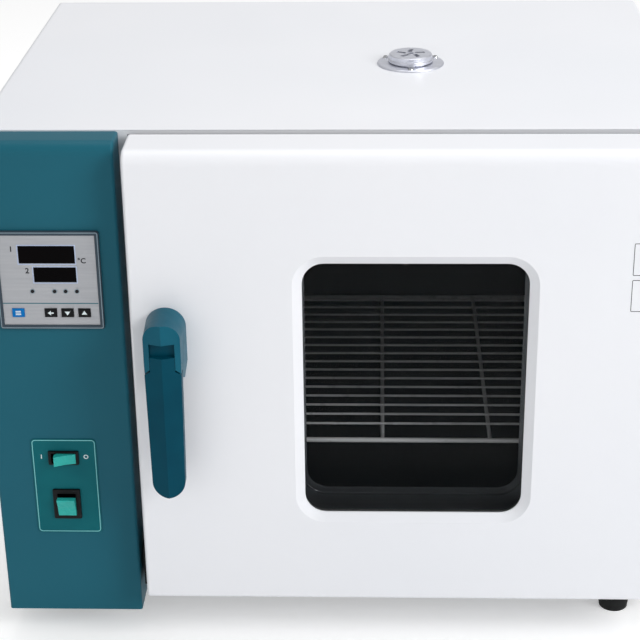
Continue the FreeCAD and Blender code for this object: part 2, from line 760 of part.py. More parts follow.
def make_shelf_rail(label, wall, inwards):
    """Two uprights on the chamber wall that carry a ladder of ledges."""
    near, far = front + 30.0, chamber_back - 20.0
    foot = chamber_floor + 12.0
    sheet = S.liner
    back = wall + sheet * inwards
    lip = wall + S.rail_wide * inwards
    pieces = []
    for i, y in enumerate((near + 20.0, far - 34.0), 1):
        x0, x1 = (wall, back) if inwards > 0 else (back, wall)
        top = ledge_height(S.rail_count - 1) + 14.0
        pieces.append(block(x0, x1, y, y + 14.0, foot, top, "upright_%d" % i))
    for i in range(int(S.rail_count.number)):
        x0, x1 = (wall, lip) if inwards > 0 else (lip, wall)
        z = ledge_height(i)
        pieces.append(block(x0, x1, near, far, z - sheet, z, "ledge_%d" % i))
        x0, x1 = (lip - sheet, lip) if inwards > 0 else (lip, lip + sheet)
        pieces.append(block(x0, x1, near, far, z - 5.0, z, "ledge_lip_%d" % i))
    join(label, pieces)


def make_wire_shelf():
    """A closed frame of rod, cross rods that run back, and thin wires laid across them."""
    body = new_body("shelf_frame")
    left, right = chamber_left + S.shelf_side, chamber_right - S.shelf_side
    near = front + S.shelf_front
    far = near + S.shelf_deep
    z = ledge_height(S.shelf_level) + 2 * S.fit + S.shelf_rod / 2
    path = sketch(body, "XY", z)
    outline(path, rectangle(left, right, near, far, S.shelf_round))
    section = sketch(body, "XZ", near + S.shelf_deep / 2)
    circle(section, left, z, S.shelf_rod / 2)
    pipe = body.newObject("PartDesign::AdditivePipe", "frame_rod")
    pipe.Profile = section
    pipe.Spine = path
    doc.recompute()
    pieces = [body]
    for i in (-1, 0, 1):
        x = chamber_x + S.shelf_cross_x + S.shelf_cross * i
        pieces.append(rod("y", x, near, z + 0.4, S.shelf_rod * 0.4, S.shelf_deep, "cross_rod"))
    rise = z + S.shelf_rod / 2 + S.shelf_wire * 0.3
    for i in range(int(S.shelf_wires.number)):
        y = near + S.shelf_first + S.shelf_pitch * i
        pieces.append(rod("x", left, y, rise, S.shelf_wire / 2, right - left, "thin_wire"))
    join("wire_shelf", pieces)


def make_duct_plate():
    body = new_body("duct_plate")
    place(body, chamber_x, chamber_back, chamber_mid)
    wide, high = S.chamber_wide / 2, S.chamber_high / 2
    flat = sketch(body, "XZ", 0)
    outline(flat, rectangle(-wide, wide, -high, high, S.mouth_round))
    pad(body, flat, S.liner, backwards=True)
    slot = sketch(body, "XZ", 0)
    outline(slot, centred(as_size(0.0), S.fan_wide * 0.3, 5.0, S.fan_wide * 0.32, 2.4))
    first = pocket(body, slot, S.liner)
    polar(body, [first], S.duct_slots, "Y_Axis")
    for side in (-1, 1):
        outlet = sketch(body, "XZ", 0)
        outline(outlet, centred((wide - 18.0) * side, 24.0 - high, 6.0, 22.0, 2.9))
        opening = pocket(body, outlet, S.liner)
        linear(body, [opening], (S.chamber_high - 48.0) / 5, as_size(6.0), "Z_Axis")


def make_heating_element():
    ring = doc.addObject("Part::Torus", "heater_ring_tube")
    bind(ring, "Radius1", S.heater_ring)
    bind(ring, "Radius2", S.heater_tube / 2)
    middle = chamber_back + S.fan_space / 2
    place(ring, chamber_x, middle, chamber_mid, TURN["y"])
    pieces = [ring]
    tube = S.heater_tube / 2
    for x in heater_legs:
        pieces.append(rod("y", x, middle, heater_foot, tube, S.fan_space / 2 + S.rear_wool + 5.0, "terminal"))
    join("heating_element", pieces)


def make_fan():
    """Back disc, hub and curved blades, on a shaft that runs through the chamber back."""
    disc_y = liner_back - S.liner - S.fan_back
    body = new_body("fan_impeller")
    place(body, chamber_x, disc_y, chamber_mid)
    disc = sketch(body, "XZ", 0)
    circle(disc, 0, 0, S.fan_wide / 2)
    pad(body, disc, 1.2)
    hub = sketch(body, "XZ", 0)
    circle(hub, 0, 0, S.fan_axle * 1.3)
    pad(body, hub, S.fan_deep)
    blade = sketch(body, "XZ", -1.0)
    reach = S.fan_wide / 2
    outline(blade, [
        (reach * 0.45, reach * -0.1), (reach * 0.7, reach * -0.02), (reach * 0.93, reach * 0.22),
        (reach * 0.9, reach * 0.24), (reach * 0.69, reach * 0.01), (reach * 0.45, reach * -0.07)])
    first = pad(body, blade, S.fan_deep - 1.0)
    polar(body, [first], S.fan_blades, "Y_Axis")
    bore = sketch(body, "XZ", -S.fan_deep)
    circle(bore, 0, 0, S.fan_axle / 2)
    pocket(body, bore, S.fan_deep)
    start = disc_y - S.fan_deep
    rod("y", chamber_x, start, chamber_mid, S.fan_axle / 2, liner_back + S.motor_gap + 7.0 - start, "fan_shaft")


def make_fan_motor():
    """Flat fan motor: laminated core, bearing housing and coil, held by a bent strap."""
    front_face = liner_back + S.motor_gap
    body = new_body("fan_motor")
    place(body, chamber_x, front_face, chamber_mid)
    core = sketch(body, "XZ", 4.0)
    wide = S.motor_wide
    outline(core, rectangle(-wide / 2, wide / 2, -wide / 2, wide / 2, 5.0))
    pad(body, core, S.motor_deep - 8.0, backwards=True)
    caps = sketch(body, "XZ", 0)
    circle(caps, 0, 0, wide * 0.3)
    pad(body, caps, S.motor_deep, backwards=True)
    coil = sketch(body, "XZ", 1.5)
    outline(coil, rectangle(wide * -0.28, wide * 0.28, wide * -0.62, wide * -0.38, 3.0))
    pad(body, coil, S.motor_deep - 3.0, backwards=True)
    bore = sketch(body, "XZ", 0)
    circle(bore, 0, 0, S.fan_axle / 2 + S.running)
    pocket(body, bore, 9.0)
    strap = new_body("motor_bracket")
    back = front_face + S.motor_deep
    seat = liner_back + S.rear_wool
    reach = S.motor_wide * 0.95
    gauge = 1.5
    mid = chamber_mid
    profile = sketch(strap, "YZ", chamber_x - 14.0)
    outline(profile, [
        (seat, mid - reach), (seat + gauge, mid - reach), (seat + gauge, mid - wide / 2 - 1.0),
        (back + gauge, mid - wide / 2 + 6.0), (back + gauge, mid + wide / 2 - 6.0),
        (seat + gauge, mid + wide / 2 + 1.0), (seat + gauge, mid + reach), (seat, mid + reach),
        (seat, mid + wide / 2 - 1.0), (back, mid + wide / 2 - 8.0),
        (back, mid - wide / 2 + 8.0), (seat, mid - wide / 2 + 1.0)])
    pad(strap, profile, 28.0)


def make_temperature_probe():
    tip = chamber_left + S.probe_long
    start = wall_right - S.metal - 14.0
    stem = rod("x", start, probe_y, probe_z, S.probe_wide / 2, tip - start, "probe_stem")
    collar = rod("x", chamber_left, probe_y, probe_z, S.probe_wide, 3.0, "probe_collar")
    gland = rod("x", wall_right - S.metal - 6.0, probe_y, probe_z, S.probe_wide * 1.1, 6.0, "probe_gland")
    join("temperature_probe", [stem, collar, gland])


# Roof vent

def vent_slot():
    """A slanting slot between the hub and the rim of the vent."""
    return [
        (-S.slot_wide / 2 - 1.0, 4.6), (-S.slot_wide / 2 + 1.0, 13.6),
        (S.slot_wide / 2 + 1.0, 13.6), (S.slot_wide / 2 - 1.0, 4.6)]


def make_vent_base():
    body = new_body("vent_base")
    place(body, chamber_x, vent_y, roof)
    bore = S.vent_bore / 2
    top = S.vent_high - 3.0
    profile = sketch(body, "XZ", 0)
    outline(profile, [
        (bore, 0), (bore, top - 1.4), (2.0, top - 1.4), (2.0, top),
        (S.vent_collar / 2, top), (S.vent_collar / 2, S.vent_rim),
        (S.vent_flange / 2 - 1.0, S.vent_rim), (S.vent_flange / 2, S.vent_rim - 1.0), (S.vent_flange / 2, 0)])
    revolve(body, profile)
    slot = sketch(body, "XY", top)
    outline(slot, vent_slot())
    first = pocket(body, slot, 1.6)
    polar(body, [first], S.vent_slots, "Z_Axis")
    holes = sketch(body, "XY", S.vent_rim)
    for x, y in vent_screw_places():
        circle(holes, x, y, S.screw_shank / 2)
    pocket(body, holes, S.vent_rim)


def make_vent_disc():
    """The cap that turns on the collar to open or shut the slots."""
    cap = new_body("vent_disc")
    place(cap, chamber_x, vent_y, roof)
    under = S.vent_high - 3.0 + S.running
    skirt = S.vent_collar / 2 + S.running
    outer = S.vent_cap / 2
    low = S.vent_rim + 1.2
    shell = sketch(cap, "XZ", 0)
    outline(shell, [
        (S.vent_eye, under), (skirt, under), (skirt, low), (outer, low), (outer, low + 2.0),
        (outer - 0.8, low + 2.8), (outer - 0.8, S.vent_high - 1.0), (outer - 1.8, S.vent_high),
        (S.vent_eye, S.vent_high)])
    revolve(cap, shell)
    ways = sketch(cap, "XY", S.vent_high)
    outline(ways, vent_slot())
    opening = pocket(cap, ways, S.vent_high - under + 0.1)
    polar(cap, [opening], S.vent_slots, "Z_Axis")
    tab = sketch(cap, "XY", low)
    outline(tab, rectangle(as_size(-3.2), as_size(3.2), -outer - 2.6, 1.0 - outer))
    pad(cap, tab, 4.6)


def make_vent_tube():
    tube = new_body("vent_tube")
    place(tube, chamber_x, vent_y, 0)
    bore = S.vent_bore / 2
    wall = sketch(tube, "XZ", 0)
    collar = chamber_top + S.liner
    outer = bore + S.vent_wall
    outline(wall, [
        (bore, chamber_top), (bore, roof), (outer, roof), (outer, collar + 1.2),
        (outer + 3.5, collar + 1.2), (outer + 3.5, collar), (outer, collar), (outer, chamber_top)])
    revolve(tube, wall)


def make_vent_screws():
    screws = []
    for i, (x, y) in enumerate(vent_screw_places(), 1):
        x = chamber_x + x
        y = vent_y + y
        head_z = roof + S.vent_rim
        head = cone(x, y, head_z, S.screw_head / 2, S.screw_head * 0.33, 1.7, "vent_head_%d" % i)
        shank = rod("z", x, y, roof - 5.0, S.screw_shank / 2, S.vent_rim + 5.0, "vent_shank_%d" % i)
        screws.append(join("vent_screw_%d" % i, [head, shank]))
    group("vent_screws", screws)


# Control column

class RockerSwitch:
    """A snap-in rocker switch. Its rocker tips about an upright or a level axis."""

    def __init__(self, frame_label, rocker_label, x, z, upright, wide, frame_long, frame_wide):
        self.frame_label = frame_label
        self.rocker_label = rocker_label
        self.x = panel_x + x
        self.z = switch_z + z
        self.upright = upright
        self.wide = as_size(wide)
        self.frame_long = as_size(frame_long)
        self.frame_wide = as_size(frame_wide)

    def spread(self, along, across):
        """Width and height of a size given along and across the rocker."""
        return (along, across) if self.upright else (across, along)

    def opening(self, slack):
        """The panel cut-out that the switch body goes through, with a slack all round."""
        wide, high = self.spread(self.frame_long - 3.0, self.frame_wide - 2.0)
        return centred(self.x, self.z, wide + 2 * slack, high + 2 * slack)

    def make_frame(self):
        frame = new_body(self.frame_label)
        plate_front = fascia_front - S.plate_thick
        rim_front = plate_front - S.switch_rim
        rim = sketch(frame, "XZ", plate_front)
        wide, high = self.spread(self.frame_long, self.frame_wide)
        outline(rim, centred(self.x, self.z, wide, high, 1.2))
        pad(frame, rim, S.switch_rim)
        barrel = sketch(frame, "XZ", plate_front)
        outline(barrel, self.opening(as_size(0.0)))
        pad(frame, barrel, S.switch_deep, backwards=True)
        round_edges(frame, as_size(0.7), lambda edge: lies_at(edge, "Y", rim_front))
        space = sketch(frame, "XZ", rim_front)
        wide, high = self.spread(S.rocker_long + 2 * S.rocker_gap, self.wide + 2 * S.running)
        outline(space, centred(self.x, self.z, wide, high))
        pocket(frame, space, S.rocker_long / 2)
        reach = self.wide / 2 + S.rocker_stub + 0.1
        depth = rim_front + S.rocker_deep
        plane, at = ("XY", self.z + reach) if self.upright else ("YZ", self.x + reach)
        sockets = sketch(frame, plane, at)
        middle = (self.x, depth) if self.upright else (depth, self.z)
        circle(sockets, *middle, S.rocker_pin / 2 + S.running)
        pocket(frame, sockets, 2 * reach)

    def make_rocker(self):
        rocker = new_body(self.rocker_label)
        flat = sketch(rocker, "XY", -self.wide / 2)
        end = S.rocker_long / 2
        tail = end - 1.6
        rise = S.rocker_rise + S.rocker_deep
        outline(flat, [
            (-end, -rise, 0.6), (0, S.rocker_dip - rise, 12.0), (end, -rise, 0.6),
            (tail, -0.8), (3.0, 1.8), (-3.0, 1.8), (-tail, -0.8)])
        pad(rocker, flat, self.wide)
        pin = sketch(rocker, "XY", -self.wide / 2 - S.rocker_stub)
        circle(pin, as_size(0.0), as_size(0.0), S.rocker_pin / 2)
        pad(rocker, pin, self.wide + 2 * S.rocker_stub)
        tip = FreeCAD.Rotation(FreeCAD.Vector(0, 0, 1), S.rocker_tilt.number)
        turned = tip if self.upright else FreeCAD.Rotation(FreeCAD.Vector(0, 1, 0), 90) * tip
        pivot_depth = fascia_front - S.plate_thick - S.switch_rim + S.rocker_deep
        place(rocker, self.x, pivot_depth, self.z, turned)


fan_switch = RockerSwitch("fan_switch_frame", "fan_rocker", -0.5, 30.0, True, 9.4, 27.6, 13.8)
power_switch = RockerSwitch("power_switch_frame", "power_rocker", -0.5, -17.8, False, 16.2, 30.4, 25.0)


def make_control_fascia():
    body = new_body("control_fascia")
    flat = sketch(body, "YZ", fascia_left)
    outline(flat, [
        (front, base), (fascia_front, base), (fascia_front, fascia_top, S.fascia_bend), (front, fascia_top)])
    pad(body, flat, S.fascia_wide)

    def side_edge(edge):
        side = lies_at(edge, "X", fascia_left) or lies_at(edge, "X", fascia_right)
        return side and not lies_at(edge, "Y", front) and not lies_at(edge, "Z", base)
    round_edges(body, S.fascia_edge, side_edge)
    hollow = sketch(body, "YZ", fascia_left + S.skin)
    outline(hollow, [
        (front, base + S.skin), (fascia_front + S.skin, base + S.skin),
        (fascia_front + S.skin, fascia_top - S.skin, S.fascia_bend - S.skin), (front, fascia_top - S.skin)])
    pocket(body, hollow, S.fascia_wide - 2 * S.skin, backwards=True)
    openings = sketch(body, "XZ", fascia_front)
    housing = S.housing_wide + 2 * S.fit
    outline(openings, centred(panel_x, controller_z, housing, housing))
    outline(openings, fan_switch.opening(S.fit))
    outline(openings, power_switch.opening(S.fit))
    pocket(body, openings, S.skin)


def make_switch_plate():
    body = new_body("switch_plate")
    flat = sketch(body, "XZ", fascia_front)
    outline(flat, centred(panel_x, switch_z, S.plate_wide, S.plate_high, 4.0))
    outline(flat, fan_switch.opening(S.fit))
    outline(flat, power_switch.opening(S.fit))
    pad(body, flat, S.plate_thick)


# Controller details: places from the middle of the controller, and display sizes.
KEYS = (
    ("key_set", -28.75, -30.1), ("key_shift", -0.5, -30.1),
    ("key_down", 14.1, -30.1), ("key_up", 28.8, -30.1))
LAMPS = ((-14.9, -10.0), (4.2, -10.0), (13.8, -10.0), (23.6, -10.0))
DISPLAYS = ((-0.4, 24.0, 48.6, 16.5), (5.7, 5.4, 36.8, 14.2))


def make_controller_bezel():
    bezel = new_body("controller_bezel")
    bezel_front = fascia_front - S.bezel_thick
    flat = sketch(bezel, "XZ", fascia_front)
    outline(flat, centred(panel_x, controller_z, S.bezel_wide, S.bezel_wide, 2.5))
    pad(bezel, flat, S.bezel_thick)
    round_edges(bezel, as_size(0.8), lambda edge: lies_at(edge, "Y", bezel_front))
    space = sketch(bezel, "XZ", bezel_front)
    window = S.bezel_wide - 2 * S.bezel_rim
    outline(space, centred(panel_x, controller_z, window, window))
    pocket(bezel, space, S.bezel_thick)


def make_controller_face():
    face = new_body("controller_face")
    plate = sketch(face, "XZ", face_back)
    size = S.bezel_wide - 2 * S.bezel_rim - 2 * S.fit
    outline(plate, centred(panel_x, controller_z, size, size))
    pad(face, plate, S.face_thick)
    windows = sketch(face, "XZ", face_front)
    for x, z, wide, high in DISPLAYS:
        outline(windows, centred(panel_x + x, controller_z + z, as_size(wide), as_size(high)))
    for x, z in LAMPS:
        circle(windows, panel_x + x, controller_z + z, S.lamp_wide / 2 + S.fit)
    pocket(face, windows, S.face_thick)
    holes = sketch(face, "XZ", face_front)
    for label, x, z in KEYS:
        wide, high = S.key_wide + 2 * S.fit, S.key_high + 2 * S.fit
        outline(holes, centred(panel_x + x, controller_z + z, wide, high))
    pocket(face, holes, S.face_thick)


def make_controller_housing():
    housing = new_body("controller_housing")
    box = sketch(housing, "XZ", face_back)
    outline(box, centred(panel_x, controller_z, S.housing_wide, S.housing_wide))
    pad(housing, box, S.housing_deep, backwards=True)
    seats = sketch(housing, "XZ", face_back)
    for label, x, z in KEYS:
        wide, high = S.key_wide + 2 * S.key_flange + 0.6, S.key_high + 2 * S.key_flange + 0.6
        outline(seats, centred(panel_x + x, controller_z + z, wide, high))
    pocket(housing, seats, S.key_flange + S.key_travel + S.running)


def make_display_lenses():
    lenses = []
    for i, (x, z, wide, high) in enumerate(DISPLAYS, 1):
        lens = new_body("display_%d" % i)
        pane = sketch(lens, "XZ", face_back)
        outline(pane, centred(panel_x + x, controller_z + z, wide - 2 * S.fit, high - 2 * S.fit))
        pad(lens, pane, S.face_thick - 0.4)
        lenses.append(lens)
    group("display_lenses", lenses)


def make_indicator_lenses():
    start = face_front - 0.5
    lamps = []
    for i, (x, z) in enumerate(LAMPS, 1):
        lamp_x, lamp_z = panel_x + x, controller_z + z
        lamps.append(rod("y", lamp_x, start, lamp_z, S.lamp_wide / 2, face_back - start, "lamp_%d" % i))
    group("indicator_lenses", lamps)


def make_keys():
    for label, x, z in KEYS:
        key = new_body(label)
        key_x, key_z = panel_x + x, controller_z + z
        key_front = face_front - S.key_out
        cap = sketch(key, "XZ", face_back + S.fit / 2)
        outline(cap, centred(key_x, key_z, S.key_wide, S.key_high))
        pad(key, cap, S.face_thick + S.key_out + S.fit / 2)
        round_edges(key, as_size(0.4), lambda edge: lies_at(edge, "Y", key_front))
        rim = sketch(key, "XZ", face_back + S.fit / 2)
        wide, high = S.key_wide + 2 * S.key_flange, S.key_high + 2 * S.key_flange
        outline(rim, centred(key_x, key_z, wide, high))
        pad(key, rim, S.key_flange, backwards=True)


# Electrical fittings in the control compartment

def make_solid_state_relay():
    low = base + S.metal
    left = fascia_left + 60.0
    plate = block(left, left + 45.0, front + 150.0, front + 208.0, low, low + 9.0, "relay_base")
    case = block(left + 1.5, left + 43.5, front + 151.5, front + 206.5, low + 9.0, low + 26.0, "relay_case")
    studs = []
    for dx in (10.0, 35.0):
        for dy in (158.0, 200.0):
            studs.append(rod("z", left + dx, front + dy, low + 26.0, as_size(3.5), 2.5, "relay_stud"))
    join("solid_state_relay", [plate, case] + studs)


def make_terminal_block():
    low = base + S.metal
    left = fascia_left + 60.0
    strip_y = front + 260.0
    pieces = [block(left, left + 60.0, strip_y, strip_y + 22.0, low, low + 8.0, "terminal_rail")]
    for i in range(6):
        x = left + 1.0 + 9.8 * i
        pieces.append(block(x, x + 8.8, strip_y + 2.0, strip_y + 20.0, low + 8.0, low + 22.0, "terminal"))
    join("terminal_block", pieces)


def make_overheat_thermostat():
    x = wall_right - S.metal
    y = front + 120.0
    z = base + 200.0
    case = rod("x", x - 24.0, y, z, as_size(16.0), 24.0, "thermostat_case")
    foot = block(x - 2.0, x, y - 26.0, y + 26.0, z - 12.0, z + 12.0, "thermostat_foot")
    spindle = rod("x", x - 33.0, y, z, as_size(3.0), 9.0, "thermostat_spindle")
    join("overheat_thermostat", [case, foot, spindle])


def make_power_inlet():
    inlet = new_body("power_inlet")
    flange = sketch(inlet, "XZ", rear)
    outline(flange, centred(inlet_x, inlet_z, as_size(48.0), as_size(24.0), 4.0))
    pad(inlet, flange, 2.0, backwards=True)
    barrel = sketch(inlet, "XZ", rear)
    outline(barrel, centred(inlet_x, inlet_z, S.inlet_wide - 2 * S.fit, S.inlet_high - 2 * S.fit))
    pad(inlet, barrel, 26.0)
    socket = sketch(inlet, "XZ", rear + 2.0)
    outline(socket, centred(inlet_x, inlet_z, as_size(24.0), as_size(16.5), 3.0))
    for dx, dz in ((-7.0, -2.0), (7.0, -2.0), (0.0, 2.0)):
        outline(socket, centred(inlet_x + dx, inlet_z + dz, as_size(2.0), as_size(6.0)))
    pocket(inlet, socket, 15.0, backwards=True)


def make_earth_terminal():
    length = S.louvre_reach - 0.2 + 14.0
    bolt = rod("y", earth_x, rear - 14.0, inlet_z, S.earth_stud / 2, length, "earth_bolt")
    washer = rod("y", earth_x, rear, inlet_z, S.earth_stud, 1.0, "earth_washer")
    nut = doc.addObject("Part::Prism", "earth_nut")
    nut.Polygon = 6
    bind(nut, "Circumradius", S.earth_stud * 0.9)
    bind(nut, "Height", 2.2)
    place(nut, earth_x, rear + 1.0, inlet_z, TURN["y"])
    join("earth_terminal", [bolt, washer, nut])


# Door

def door_outline(inset, edge):
    """Side view of the door: bent over at the top, lightly rounded at the bottom."""
    return [
        (pan_front, door_base + inset), (door_front + inset, door_base + inset, edge),
        (door_front + inset, door_top - inset, S.door_bend - inset), (pan_front, door_top - inset)]


def notch_spans():
    """Lower and upper end of the recess for each hinge."""
    return [(z - S.hinge_high / 2 - 1.0, z + S.hinge_high / 2 + 1.0) for z in hinge_heights]


def window(grow, bend_grow=None):
    """The window's outline, grown by an amount on every side."""
    bend = S.window_round + (grow if bend_grow is None else bend_grow)
    return centred(window_x, window_z, S.window_wide + 2 * grow, S.window_high + 2 * grow, bend)


def make_door_shell():
    body = new_body("door_shell")
    flat = sketch(body, "YZ", door_left)
    outline(flat, door_outline(as_size(0.0), S.door_edge))
    pad(body, flat, door_wide)

    def side_edge(edge):
        side = lies_at(edge, "X", door_left) or lies_at(edge, "X", door_right)
        return side and not lies_at(edge, "Y", pan_front)
    round_edges(body, S.door_edge - 0.2, side_edge)
    hollow = sketch(body, "YZ", door_left + S.door_skin)
    outline(hollow, door_outline(S.door_skin, S.door_edge - S.door_skin))
    pocket(body, hollow, door_wide - 2 * S.door_skin, backwards=True)

    skin_back = door_front + S.door_skin
    surround = sketch(body, "XZ", skin_back)
    outline(surround, window(S.bevel_wide + 2 * S.door_skin))
    pad(body, surround, glass_seat - skin_back, backwards=True)
    outer = sketch(body, "XZ", door_front)
    outline(outer, window(S.bevel_wide))
    inner = sketch(body, "XZ", door_front + S.bevel_deep)
    outline(inner, window(as_size(0.0)))
    bevel = body.newObject("PartDesign::SubtractiveLoft", "bevel")
    bevel.Profile = outer
    bevel.Sections = [inner]
    bevel.Ruled = True
    doc.recompute()
    clear = sketch(body, "XZ", door_front + S.bevel_deep)
    outline(clear, window(as_size(0.0)))
    pocket(body, clear, S.door_skin)

    for low, high in notch_spans():
        walls = sketch(body, "XY", low - S.door_skin)
        outline(walls, rectangle(
            notch_x - S.door_skin, door_right - S.door_skin, notch_y - S.door_skin, pan_front))
        pad(body, walls, high - low + 2 * S.door_skin)
        recess = sketch(body, "XY", low)
        outline(recess, rectangle(notch_x, door_right + 1.0, notch_y, pan_front + 1.0))
        pocket(body, recess, high - low, backwards=True)
    hole = sketch(body, "XZ", door_front)
    circle(hole, lever_x, plunger_z, bush_radius)
    pocket(body, hole, S.door_skin)


def make_door_inner_pan():
    body = new_body("door_inner_pan")
    flat = sketch(body, "XZ", pan_front)
    outline(flat, rectangle(door_left, door_right, door_base, door_top))
    outline(flat, window(as_size(0.0)))
    circle(flat, lever_x, plunger_z, bush_radius)
    pad(body, flat, S.metal, backwards=True)
    tunnel = sketch(body, "XZ", pan_front)
    outline(tunnel, window(S.window_lip))
    outline(tunnel, window(S.window_lip + S.metal))
    pad(body, tunnel, pan_front - tunnel_front)
    for low, high in notch_spans():
        recess = sketch(body, "XY", low)
        outline(recess, rectangle(notch_x, door_right + 1.0, pan_front - 1.0, door_rear + 1.0))
        pocket(body, recess, high - low, backwards=True)


def make_door_insulation():
    body = new_body("door_insulation")
    near = glass_seat + S.glass_thick
    edge = S.door_skin
    flat = sketch(body, "XZ", pan_front)
    outline(flat, rectangle(door_left + edge, notch_x - edge, door_base + edge, door_top - edge - 3.0))
    outline(flat, window(S.window_lip + S.metal))
    circle(flat, lever_x, plunger_z, bush_radius)
    pad(body, flat, pan_front - near)


def make_outer_glass():
    outer = new_body("outer_glass")
    flat = sketch(outer, "XZ", glass_seat)
    outline(flat, window(S.window_lip))
    pad(outer, flat, S.glass_thick, backwards=True)


def make_window_seal():
    seal = new_body("window_seal")
    ring = sketch(seal, "XZ", glass_seat + S.glass_thick)
    outline(ring, window(S.window_lip + S.metal))
    outline(ring, window(as_size(1.0)))
    pad(seal, ring, S.seal_thick, backwards=True)


def make_inner_glass():
    inner = new_body("inner_glass")
    pane = sketch(inner, "XZ", pan_front)
    outline(pane, window(S.window_lip - S.fit))
    pad(inner, pane, S.glass_thick)


def make_door_gasket():
    body = new_body("door_gasket")
    flat = sketch(body, "XZ", front)
    for out in (S.gasket_out, S.gasket_out + S.gasket_wide):
        left, right = chamber_left - out, chamber_right + out
        outline(flat, rectangle(left, right, chamber_floor - out, chamber_top + out, S.mouth_round + out))
    pad(body, flat, S.door_gap - S.running)
    nose = front - S.door_gap + S.running
    round_edges(body, as_size(2.5), lambda edge: lies_at(edge, "Y", nose))


def make_hinges():
    """Two butt hinges in recesses of the door's rear right edge: leaves, knuckles and pins."""
    cabinet_leaves = []
    door_leaves = []
    pins = []
    knuckle = S.knuckle_wide / 2
    share = S.hinge_high / 3
    bore = S.hinge_pin / 2 + S.fit
    inner = hinge_x - knuckle - S.leaf_wide
    for i, z in enumerate(hinge_heights, 1):
        low = z - S.hinge_high / 2
        high = low + S.hinge_high
        parts = [block(inner, hinge_x + knuckle, front - S.leaf, front, low, high, "plate_%d" % i)]
        for start in (low, low + 2 * share):
            parts.append(rod("z", hinge_x, hinge_y, start, knuckle, share, "barrel"))
            side = hinge_x - knuckle
            parts.append(block(side, side + 1.8, hinge_y, front, start, start + share, "web"))
        hole = rod("z", hinge_x, hinge_y, low - 1.0, bore, S.hinge_high + 2.0, "pin_way")
        cabinet_leaves.append(cut("cabinet_leaf_%d" % i, join("cabinet_leaf_solid_%d" % i, parts), [hole]))
        mid_low = low + share + S.running
        mid_high = low + 2 * share - S.running
        flap = block(inner, notch_x, door_rear, door_rear + S.leaf, low, high, "flap_%d" % i)
        web = block(
            notch_x - 1.0, notch_x + 1.6, door_rear, door_rear + S.leaf, mid_low, mid_high, "flap_end_%d" % i)
        drop = block(notch_x, notch_x + 1.6, hinge_y, door_rear + S.leaf, mid_low, mid_high, "drop_%d" % i)
        barrel = rod("z", hinge_x, hinge_y, mid_low, knuckle, mid_high - mid_low, "door_barrel_%d" % i)
        hole = rod("z", hinge_x, hinge_y, low - 1.0, bore, S.hinge_high + 2.0, "door_pin_way")
        solid = join("door_leaf_solid_%d" % i, [flap, web, drop, barrel])
        door_leaves.append(cut("door_leaf_%d" % i, solid, [hole]))
        pins.append(rod("z", hinge_x, hinge_y, low, S.hinge_pin / 2, S.hinge_high, "pin_%d" % i))
    group("hinge_cabinet_leaves", cabinet_leaves)
    group("hinge_door_leaves", door_leaves)
    group("hinge_pins", pins)


def make_catch_magnets():
    magnets = []
    for i, z in enumerate(magnet_heights, 1):
        x0, x1 = magnet_x - S.magnet_wide / 2, magnet_x + S.magnet_wide / 2
        z0, z1 = z - S.magnet_high / 2, z + S.magnet_high / 2
        magnets.append(block(x0, x1, front - S.door_gap + S.running, front, z0, z1, "magnet_%d" % i))
    group("catch_magnets", magnets)


def make_door_guide_strip():
    body = new_body("door_guide_strip")
    gap = door_left - fascia_right
    low = base + 22.0
    flat = sketch(body, "YZ", fascia_right + (gap - S.strip_wide) / 2)
    outline(flat, [
        (front, low), (front - S.strip_reach, low, 3.0), (front - S.strip_reach, low + S.strip_high, 8.0),
        (front, low + S.strip_high)])
    pad(body, flat, S.strip_wide)


# Door lever

def round_top(x, top, wide, tall, bend, side, end):
    """An outline with a round top and straight sides that run together to a narrower end."""
    return [
        (x - end / 2, top - tall), (x - wide / 2, top - side), (x - wide / 2, top, bend),
        (x + wide / 2, top, bend), (x + wide / 2, top - side), (x + end / 2, top - tall)]


def facet_cutter(flat, edge):
    """Two slanting faces that meet in a ridge along the middle of the lever."""
    near = lever_front - 1.0
    fallen = lever_front + S.grip_fall
    outline(flat, [
        (lever_x - edge, near), (lever_x - edge, fallen), (lever_x, lever_front),
        (lever_x + edge, fallen), (lever_x + edge, near)])


